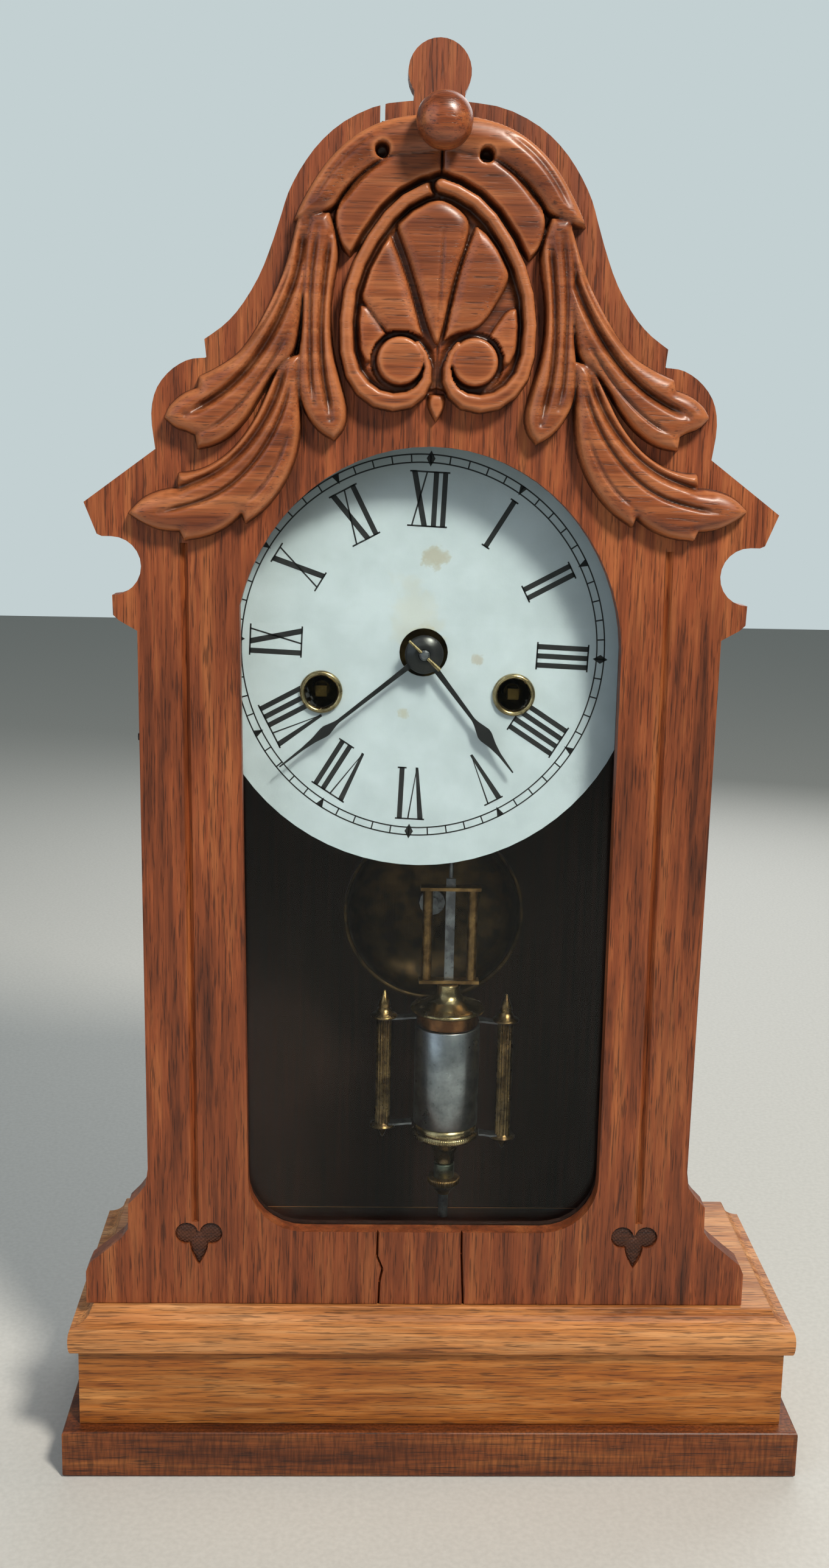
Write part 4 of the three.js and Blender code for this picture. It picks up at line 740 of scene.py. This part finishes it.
def relief_heights(x, z):
    """The carving's height in mm over a grid of points on the door's face."""
    height = np.full(x.shape, FLOOR)
    for side in (-1, 1):
        for form in (BED, BROW_LEAF, TONGUE, LOWER_LEAF, UPPER_LEAF):
            carve_form(height, x, z, form, side)
        for form in PETALS:
            if form.get("alone") or form.get("side", side) != side:
                continue
            carve_form(height, x, z, form, side)
    for form in (PETALS[0], BUD):
        carve_form(height, x, z, form, 1)
    for side in (-1, 1):
        stroke = [(side * px, pz, width) for px, pz, width in BAND["stroke"]]
        band = depth_in_stroke(x, z, stroke)
        trough = np.clip((band + TROUGH_REACH) / 1.4, 0, 1) * (band < 0.5)
        beside = (band > -TROUGH_REACH) & (height > TROUGH_FLOOR)
        height = np.where(beside, height + (TROUGH_FLOOR - height) * trough, height)
        height = np.maximum(height, rise(band, BAND))
        centre_x, centre_z = side * DISC["centre"][0], DISC["centre"][1]
        disc = DISC["radius"] - np.hypot(x - centre_x, z - centre_z)
        gap = (disc < 0) & (disc > -DISC_GAP) & (band < 0.3)
        height = np.where(gap, np.minimum(height, 1.0), height)
        height = np.maximum(height, rise(disc, DISC))
    for side in (-1, 1):
        carve_form(height, x, z, BROW, side)
    for eye_x, eye_z in EYES:
        away = np.hypot(x - eye_x, z - eye_z)
        height -= EYE_DEPTH * np.clip((EYE_RADIUS + 0.35 - away) / 0.7, 0, 1)
    return height


def relief_piece(name, box, step, heights, finish, body, ground=FLOOR):
    """A relief as one fine sheet over a box of the door's face. Cells wholly in the ground are left out."""
    (x0, x1), (z0, z1) = box
    xs = np.arange(x0, x1 + step, step)
    zs = np.arange(z0, z1 + step, step)
    x, z = np.meshgrid(xs, zs)
    height = heights(x, z)
    # How hollow each point lies; the carving's finish uses it to paint shade into the hollows and a
    # highlight onto the crests.
    hollow = np.clip((blurred(blurred(height, 3), 3) - height) / 6 + 0.5, 0, 1)
    shown = height > ground + 0.1
    used = shown[:-1, :-1] | shown[1:, :-1] | shown[:-1, 1:] | shown[1:, 1:]
    index = np.full(x.shape, -1)
    keep = np.zeros(x.shape, bool)
    for rows, columns in ((slice(None, -1), slice(None, -1)), (slice(1, None), slice(None, -1)),
                          (slice(None, -1), slice(1, None)), (slice(1, None), slice(1, None))):
        keep[rows, columns] |= used
    index[keep] = np.arange(keep.sum())
    points = np.stack([x[keep], -height[keep], z[keep]], axis=1) * MM + np.array(ORIGIN)
    faces = np.stack([index[:-1, :-1], index[:-1, 1:], index[1:, 1:], index[1:, :-1]], axis=-1)[used]
    piece = new_piece(name, points.tolist(), faces.tolist(), finish, body)
    attribute = piece.data.attributes.new("hollow", "FLOAT", "POINT")
    attribute.data.foreach_set("value", hollow[keep].astype(np.float32))
    return piece


def trefoil_heights(centre):
    """Heights of a sunk trefoil: three domed lobes punched all over with small dents."""
    def heights(x, z):
        cx, cz = centre
        lobes = np.maximum(4.1 - np.hypot(x - cx + 4.3, z - cz), 4.1 - np.hypot(x - cx - 4.3, z - cz))
        outline = flowing([(cx - 3.4, cz - 1), (cx - 3.0, cz - 6), (cx, cz - 12), (cx + 3.0, cz - 6),
                           (cx + 3.4, cz - 1), (cx, cz + 1)])
        inside = np.maximum(lobes, depth_inside(x, z, outline))
        dents = 0.3 * (np.sin(x * 4.4) * np.sin(z * 4.4 + x * 0.9) > 0.15)
        dome = -TREFOIL_SINK + 0.35 + 0.55 * np.clip(inside / 2.4, 0, 1) - dents
        return np.where(inside > 0, dome, -TREFOIL_SINK)
    return heights


# ---- Dial print ----
class Ink:
    """Flat shapes just off the dial's face, drawn in dial millimetres about the printed ring's centre."""

    def __init__(self):
        self.vertices = []
        self.faces = []

    def shape(self, points):
        start = len(self.vertices)
        for x, z in points:
            turned_x = x * math.cos(RING_TURN) + z * math.sin(RING_TURN)
            turned_z = -x * math.sin(RING_TURN) + z * math.cos(RING_TURN)
            self.vertices.append(place(DIAL_MIDDLE.x + RING_SHIFT[0] + turned_x, DIAL_FACE - INK_LIFT,
                                       RING_SHIFT[1] + RING_TALL * turned_z))
        self.faces.append(list(range(start, start + len(points))))

    def ring(self, outer, inner, steps=240):
        for i in range(steps):
            first, second = 2 * math.pi * i / steps, 2 * math.pi * (i + 1) / steps
            self.shape([(r * math.cos(a), r * math.sin(a))
                        for r, a in ((inner, first), (outer, first), (outer, second), (inner, second))])

    def spoke(self, degrees, points):
        """A shape given as (across, radius) points, on a spoke so many degrees clockwise from twelve."""
        angle = math.radians(degrees)
        self.shape([(a * math.cos(angle) + r * math.sin(angle), -a * math.sin(angle) + r * math.cos(angle))
                    for a, r in points])


def numeral_strokes(text):
    """A Roman numeral as four-cornered strokes of (across, radius), reading outward from the centre."""
    foot, head = NUMERAL_FOOT, NUMERAL_HEAD
    total = sum(LETTER_WIDTH[letter] for letter in text)
    left = -total / 2
    thick, heavy, thin = THICK_STROKE / 2, THICK_STROKE / 2 * 1.1, THIN_STROKE / 2
    strokes = []

    def stroke(bottom, top, weight, foot_weight):
        strokes.append([(bottom - foot_weight, foot), (bottom + foot_weight, foot), (top + weight, head),
                        (top - weight, head)])

    def serif(start, end, level):
        strokes.append([(start, level), (end, level), (end, level + SERIF), (start, level + SERIF)])

    for letter in text:
        width = LETTER_WIDTH[letter]
        middle, right = left + width / 2, left + width
        if letter == "I":
            stroke(middle, middle, thick, thick)
        elif letter == "V":
            for top, weight in ((left + V_INSET, heavy), (right - V_INSET, thin)):
                stroke(middle, top, weight, weight * 0.5)
        else:
            for bottom, top, weight in ((right - X_INSET, left + X_INSET, heavy),
                                        (left + X_INSET, right - X_INSET, thin)):
                stroke(bottom, top, weight, weight)
        if letter != "V":
            serif(left, right, foot)
        left = right
    serif(-total / 2, total / 2, head - SERIF)
    return strokes


def dial_print():
    """Minute track, hour marks and Roman numerals."""
    ink = Ink()
    ink.ring(TRACK_OUTER, TRACK_OUTER - TRACK_LINE)
    ink.ring(TRACK_INNER + TRACK_LINE, TRACK_INNER)
    half = TRACK_LINE / 2
    for minute in range(60):
        ink.spoke(6 * minute, [(-half, TRACK_INNER), (half, TRACK_INNER),
                               (half, TRACK_OUTER), (-half, TRACK_OUTER)])
    for hour, text in enumerate(NUMERALS):
        middle = (TRACK_OUTER + TRACK_INNER) / 2
        if hour % 3 == 0:
            ink.spoke(30 * hour, [(-1.5, middle), (0, middle - 2.6), (1.5, middle), (0, middle + 2.6)])
        else:
            ink.spoke(30 * hour, [(-1.4, TRACK_OUTER), (0, TRACK_INNER - 0.5), (1.4, TRACK_OUTER)])
        for stroke in numeral_strokes(text):
            ink.spoke(30 * hour, stroke)
    return new_piece("dial_print", ink.vertices, ink.faces, "ink", "case", smooth=False)


# ---- Settings and operators ----
class MantelClockSettings(bpy.types.PropertyGroup):
    """What can be chosen before the clock is built."""

    relief_step: bpy.props.FloatProperty(
        name="Relief step", description="Spacing of the carving's points", default=0.45 * MM, min=0.2 * MM,
        max=2 * MM, subtype="DISTANCE", unit="LENGTH")
    lamp_power: bpy.props.FloatProperty(
        name="Key lamp", description="Power of the key lamp", default=17.0, min=0.0, unit="POWER")


class ClockOperator:
    """What every operator here shares."""

    bl_options = {"REGISTER", "UNDO"}

    def execute(self, context):
        self.build(context.scene.mantel_clock)
        return {"FINISHED"}


class MANTELCLOCK_OT_finishes(ClockOperator, bpy.types.Operator):
    """Gives the frame's own nodes their finishes and worn edges"""

    bl_idname = "mantelclock.finishes"
    bl_label = "Finish the Frame's Nodes"

    def build(self, settings):
        for finish, nodes in NODE_FINISH.items():
            for node in nodes:
                finish_node(node, finish)


class MANTELCLOCK_OT_carving(ClockOperator, bpy.types.Operator):
    """Carves the leaf ornament in relief on the door"""

    bl_idname = "mantelclock.carving"
    bl_label = "Carve the Ornament"

    def build(self, settings):
        step = settings.relief_step / MM
        box = ((-104, 106), (36, 173))
        ornament = relief_piece("ornament_relief", box, step, relief_heights, "carving", "door")
        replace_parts(ornament, "carved_ornament")


class MANTELCLOCK_OT_trefoils(ClockOperator, bpy.types.Operator):
    """Sinks the two stippled trefoils into the door's feet"""

    bl_idname = "mantelclock.trefoils"
    bl_label = "Punch the Trefoils"

    def build(self, settings):
        for side, (x, z) in TREFOILS.items():
            box = ((x - 9, x + 9), (z - 13, z + 5))
            # The stippled finish is darkened as painted shade.
            relief_piece(f"trefoil_{side}", box, 0.25, trefoil_heights((x, z)), "stippled", "door",
                         -TREFOIL_SINK)


class MANTELCLOCK_OT_knob(ClockOperator, bpy.types.Operator):
    """Turns the wooden knob on the hood"""

    bl_idname = "mantelclock.knob"
    bl_label = "Turn the Knob"

    def build(self, settings):
        tip = node_box("door_knob")[0].y
        profile = smooth_profile(from_level(tip, [
            (0, 0.1), (3.4, 0.5), (6.6, 2.3), (8.4, 5.4), (8.7, 8.4), (7.6, 11.4), (5.4, 13.6), (4.2, 15.6),
            (4.4, 18.6), (5.6, 20.2), (5.4, 21.4)]))
        knob = turned("turned_knob", profile, node_middle("door_knob"), "Y", "turned", "door")
        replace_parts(knob, "door_knob")


class MANTELCLOCK_OT_dial(ClockOperator, bpy.types.Operator):
    """Prints the dial and fits its eyelets and the hands' washer"""

    bl_idname = "mantelclock.dial"
    bl_label = "Print the Dial"

    def build(self, settings):
        dial_print()
        for side in ("left", "right"):
            node = f"grommet_{side}"
            low, high = node_box(node)
            middle = node_middle(node)
            front, rim = low.y, (high.x - low.x) / 2
            inner, shank = rim - 1.9, rim - 1.5
            profile = smooth_profile(from_level(front, [
                (inner, 1.2), (rim - 1.6, 0.4), (rim - 0.95, 0.02), (rim - 0.3, 0.35), (rim, 1.1)]), 5)
            profile += [(rim, front + 1.5), (shank, front + 1.5), (shank, high.y), (inner, high.y),
                        (inner, front + 1.2)]
            eyelet = turned(f"eyelet_{side}", profile, middle, "Y", "brass", "case")
            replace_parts(eyelet, node)
        low, high = node_box("hand_washer")
        rim = (high.x - low.x) / 2
        back, front = high.y, low.y
        profile = smooth_profile(from_level(front, [(2.1, 0), (3.4, 0.1), (5.0, 0.7), (6.1, 1.3)])
                                 + [(rim, back - 0.2)], 5)
        profile += [(rim, back), (2.1, back), (2.1, front)]
        washer = turned("domed_washer", profile, HAND_AXIS, "Y", "black steel", "minutes")
        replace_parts(washer, "hand_washer")


class MANTELCLOCK_OT_bob(ClockOperator, bpy.types.Operator):
    """Turns the bob's cap, tube and base, its side columns and its rating nut"""

    bl_idname = "mantelclock.bob"
    bl_label = "Turn the Bob"

    def build(self, settings):
        self.cap()
        self.tube()
        self.base()
        for side in ("left", "right"):
            self.column(side)
        self.nut()

    def cap(self):
        top = node_box("bob_cap")[1].z
        flare = [(4.5, -0.3), (4.4, -2.2), (4.9, -4.2), (6.6, -6.1), (9.6, -7.6), (12.8, -8.5), (13.7, -9.2),
                 (13.5, -9.9), (12.2, -10.3)]
        profile = from_level(top, [(2.4, 0), (4.3, 0)]) + smooth_profile(from_level(top, flare))
        profile += from_level(top, [(10.4, -10.5), (10.4, -11.6), (2.4, -10.6), (2.4, 0)])
        band = from_level(top, [(10.3, -10.7), (11.2, -10.7), (11.3, -11.2), (11.3, -15), (11.1, -15.4),
                                (10.3, -15.4), (10.3, -10.7)])
        for name, outline, finish in (("bob_shoulder", profile, "brass"),
                                      ("coppery_collar", band, "copper brass")):
            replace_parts(turned(name, outline, BOB, "Z", finish, "pendulum"), "bob_cap")

    def tube(self):
        low, high = node_box("bob_cylinder")
        rim = (high.x - low.x) / 2
        profile = [(rim - 1.1, high.z), (rim - 0.15, high.z), (rim, high.z - 0.2), (rim, low.z + 0.2),
                   (rim - 0.15, low.z), (rim - 1.1, low.z), (rim - 1.1, high.z)]
        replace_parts(turned("bob_tube", profile, BOB, "Z", "silvered", "pendulum"), "bob_cylinder")

    def base(self):
        top = node_box("bob_base")[1].z

        def milled(angle, radius, level):
            return radius - (0.2 * (1 - math.cos(90 * angle)) if level < top - 3.4 and radius > 11.9 else 0)

        funnel = [(7.1, -7.4), (5.4, -9.2), (4.3, -11.6), (3.8, -14), (3.7, -16)]
        profile = from_level(top, [(10.5, 0), (11.7, 0), (11.75, -2.8), (11.4, -3.2), (12.1, -3.5),
                                   (12.2, -3.8), (12.2, -5), (12, -5.3), (10.4, -5.8), (7.2, -6.6)])
        profile += smooth_profile(from_level(top, funnel))
        profile += from_level(top, [(2.3, -16), (2.3, -6.6), (10.5, -4), (10.5, 0)])
        base = turned("bob_foot", profile, BOB, "Z", "brass", "pendulum", 270, milled)
        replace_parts(base, "bob_base")

    def column(self, side):
        node = f"side_column_{side}"
        low, high = node_box(node)
        sign = -1 if side == "left" else 1
        axis_x = low.x + 5 if side == "left" else high.x - 5
        at = (axis_x, BOB.y, 0)
        head, foot = high.z - 10.8, low.z + 5.6

        def fluted(angle, radius, level):
            return radius - (0.42 * abs(math.sin(8 * angle)) if foot + 0.6 < level < head - 0.6 else 0)

        profile = from_level(head, [
            (0, 10.8), (0.55, 10.5), (1.9, 6.4), (2.4, 4.9), (2.0, 4.0), (2.6, 3.4), (3.1, 1.9), (4.8, 1.2),
            (5, 0.9), (5, 0.5), (3.3, 0), (2.9, -0.5), (2.9, -0.7)])
        profile += from_level(foot, [
            (2.9, 0.7), (2.9, 0.5), (3, 0), (4.8, -0.4), (4.8, -0.9), (1.6, -1.5), (1.7, -2.4), (0.5, -5.2),
            (0, -5.6)])
        column = turned(f"fluted_column_{side}", profile, at, "Z", "dark bronze", "pendulum",
                        ripple=fluted)
        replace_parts(column, node)
        self.arm(f"upper_arm_{side}", axis_x, sign, head, 11.7)
        self.arm(f"lower_arm_{side}", axis_x, sign, foot, 12.6)

    def arm(self, name, axis_x, sign, level, reach):
        """A thin bent strip from the bob's side to the column's flange."""
        start = BOB.x + sign * reach
        run = axis_x - sign * 2.2 - start
        middle = [(0, 0.5), (0.22, 0.4), (0.42, 0.1), (0.7, -0.1), (1, 0)]
        vertices, faces = [], []
        for share, lift in middle:
            x, z = start + run * share, level + lift - 0.2
            half = 2.0 + 0.9 * abs(share - 0.5)
            for depth, high in ((-half, 0), (half, 0), (half, 0.7), (-half, 0.7)):
                vertices.append(place(x, BOB.y + depth, z + high))
        for i in range(len(middle) - 1):
            for j in range(4):
                k = (j + 1) % 4
                faces.append([4 * i + j, 4 * i + k, 4 * i + 4 + k, 4 * i + 4 + j])
        faces += [[0, 1, 2, 3], [len(vertices) - 4 + j for j in (3, 2, 1, 0)]]
        piece = new_piece(name, vertices, faces, "steel", "pendulum", smooth=False)
        face_outward(piece)

    def nut(self):
        low, high = node_box("rating_nut")
        top, bottom = high.z, low.z

        def knurled(angle, radius, level):
            return radius - (0.22 * (1 - math.cos(48 * angle)) if radius > 5.9 else 0)

        hub = from_level(top, [(2.2, 0), (3.7, 0), (3.85, -0.2), (3.85, -5.5), (2.2, -5.5), (2.2, 0)])
        disc = from_level(top, [(2.2, -5.8), (5.6, -5.8), (6.1, -6.1), (6.2, -6.5), (6.2, -7.5), (6, -8),
                                (5.4, -8.4), (2.7, -11.4)])
        disc += [(2.6, bottom + 0.2), (2.4, bottom), (2.2, bottom), (2.2, top - 5.8)]
        pieces = [turned("nut_hub", hub, BOB, "Z", "grey green brass", "rating"),
                  turned("knurled_nut", disc, BOB, "Z", "dull brass", "rating", 192, knurled)]
        for piece in pieces:
            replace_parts(piece, "rating_nut")


class MANTELCLOCK_OT_bell(ClockOperator, bpy.types.Operator):
    """Spins the bell behind the pendulum"""

    bl_idname = "mantelclock.bell"
    bl_label = "Spin the Bell"

    def build(self, settings):
        low, high = node_box("bell")
        middle = node_middle("bell")
        radius, depth = (high.x - low.x) / 2, high.y - low.y
        outer, inner = [], []
        for i in range(25):
            t = math.sin(i / 24 * math.pi / 2)
            share = (1 - t ** 2.6) ** 0.42
            outer.append((3 + (radius - 3) * share, low.y + depth * t))
            inner.append((3 + (radius - 4.3) * share, low.y + (depth - 1.3) * t))
        profile = outer + inner[::-1] + [outer[0]]
        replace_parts(turned("spun_bell", profile, middle, "Y", "bell", "case"), "bell")


class MANTELCLOCK_OT_studio(ClockOperator, bpy.types.Operator):
    """Sets the floor, the lamps and the camera"""

    bl_idname = "mantelclock.studio"
    bl_label = "Set the Studio"

    def build(self, settings):
        self.floor()
        self.lamp("key lamp", place(430, -760, 860), 0.22, settings.lamp_power, "#fff6ea")
        self.lamp("fill lamp", place(-900, -900, 500), 1.4, settings.lamp_power * 0.3, "#e8f0ff")
        self.lamp("rear lamp", place(300, 900, 500), 1.2, settings.lamp_power * 0.35, "#ffffff")
        bpy.context.scene.view_settings.view_transform = "Standard"
        self.world()
        self.camera()

    def floor(self):
        size = 3.0
        mesh = bpy.data.meshes.new("studio_floor")
        level = CAD_BOX[0][2] - 0.0002
        corners = [(-size, -size, level), (size, -size, level), (size, size, level), (-size, size, level)]
        mesh.from_pydata(corners, [], [(0, 1, 2, 3)])
        floor = bpy.data.objects.new("studio_floor", mesh)
        mesh.materials.append(floor_finish())
        bpy.context.scene.collection.objects.link(floor)

    def lamp(self, name, where, size, power, colour):
        data = bpy.data.lights.new(name, "AREA")
        data.shape = "DISK"
        data.size = size
        data.energy = power
        data.color = linear(colour)[:3]
        lamp = bpy.data.objects.new(name, data)
        lamp.location = where
        aim = place(0, 20, 0) - Vector(where)
        lamp.rotation_euler = aim.to_track_quat("-Z", "Y").to_euler()
        bpy.context.scene.collection.objects.link(lamp)

    def world(self):
        world = bpy.data.worlds.new("studio")
        world.use_nodes = True
        tree = world.node_tree
        seen = add_node(tree, "ShaderNodeLightPath").outputs["Is Camera Ray"]
        strength = math_node(tree, "MULTIPLY_ADD", seen, 1 - ROOM_LIGHT, ROOM_LIGHT)
        feed(tree, tree.nodes["Background"], Color=linear("#c3d0d2"), Strength=strength)
        bpy.context.scene.world = world

    def camera(self):
        ahead = Vector((math.sin(CAMERA_YAW) * math.cos(CAMERA_PITCH),
                        math.cos(CAMERA_YAW) * math.cos(CAMERA_PITCH), -math.sin(CAMERA_PITCH)))
        level = ahead.cross(Vector((0, 0, 1))).normalized()
        upright = level.cross(ahead)
        right = level * math.cos(CAMERA_ROLL) + upright * math.sin(CAMERA_ROLL)
        up = upright * math.cos(CAMERA_ROLL) - level * math.sin(CAMERA_ROLL)
        data = bpy.data.cameras.new("camera")
        data.sensor_fit = "VERTICAL"
        data.sensor_height = SENSOR_HEIGHT
        data.lens = LENS
        data.clip_start = 0.01
        camera = bpy.data.objects.new("camera", data)
        turn = Matrix((right, up, -ahead)).transposed()
        camera.matrix_world = Matrix.Translation(CAMERA_PLACE) @ turn.to_4x4()
        bpy.context.scene.collection.objects.link(camera)
        bpy.context.scene.camera = camera


class MANTELCLOCK_PT_panel(bpy.types.Panel):
    """The clock's steps, in the order they are built"""

    bl_label = "Mantel Clock"
    bl_idname = "MANTELCLOCK_PT_panel"
    bl_space_type = "VIEW_3D"
    bl_region_type = "UI"
    bl_category = "Mantel Clock"

    def draw(self, context):
        settings = context.scene.mantel_clock
        self.layout.prop(settings, "relief_step")
        self.layout.prop(settings, "lamp_power")
        for operator in OPERATORS:
            self.layout.operator(operator.bl_idname)


OPERATORS = (
    MANTELCLOCK_OT_finishes, MANTELCLOCK_OT_carving, MANTELCLOCK_OT_trefoils, MANTELCLOCK_OT_knob,
    MANTELCLOCK_OT_dial, MANTELCLOCK_OT_bob, MANTELCLOCK_OT_bell, MANTELCLOCK_OT_studio,
)
CLASSES = (MantelClockSettings, *OPERATORS, MANTELCLOCK_PT_panel)


def register():
    for made in CLASSES:
        bpy.utils.register_class(made)
    bpy.types.Scene.mantel_clock = bpy.props.PointerProperty(type=MantelClockSettings)


def unregister():
    del bpy.types.Scene.mantel_clock
    for made in reversed(CLASSES):
        bpy.utils.unregister_class(made)


def main():
    """Builds the whole clock."""
    register()
    for operator in OPERATORS:
        module, name = operator.bl_idname.split(".")
        getattr(getattr(bpy.ops, module), name)()
    bpy.context.view_layer.update()


if __name__ == "__main__":
    main()
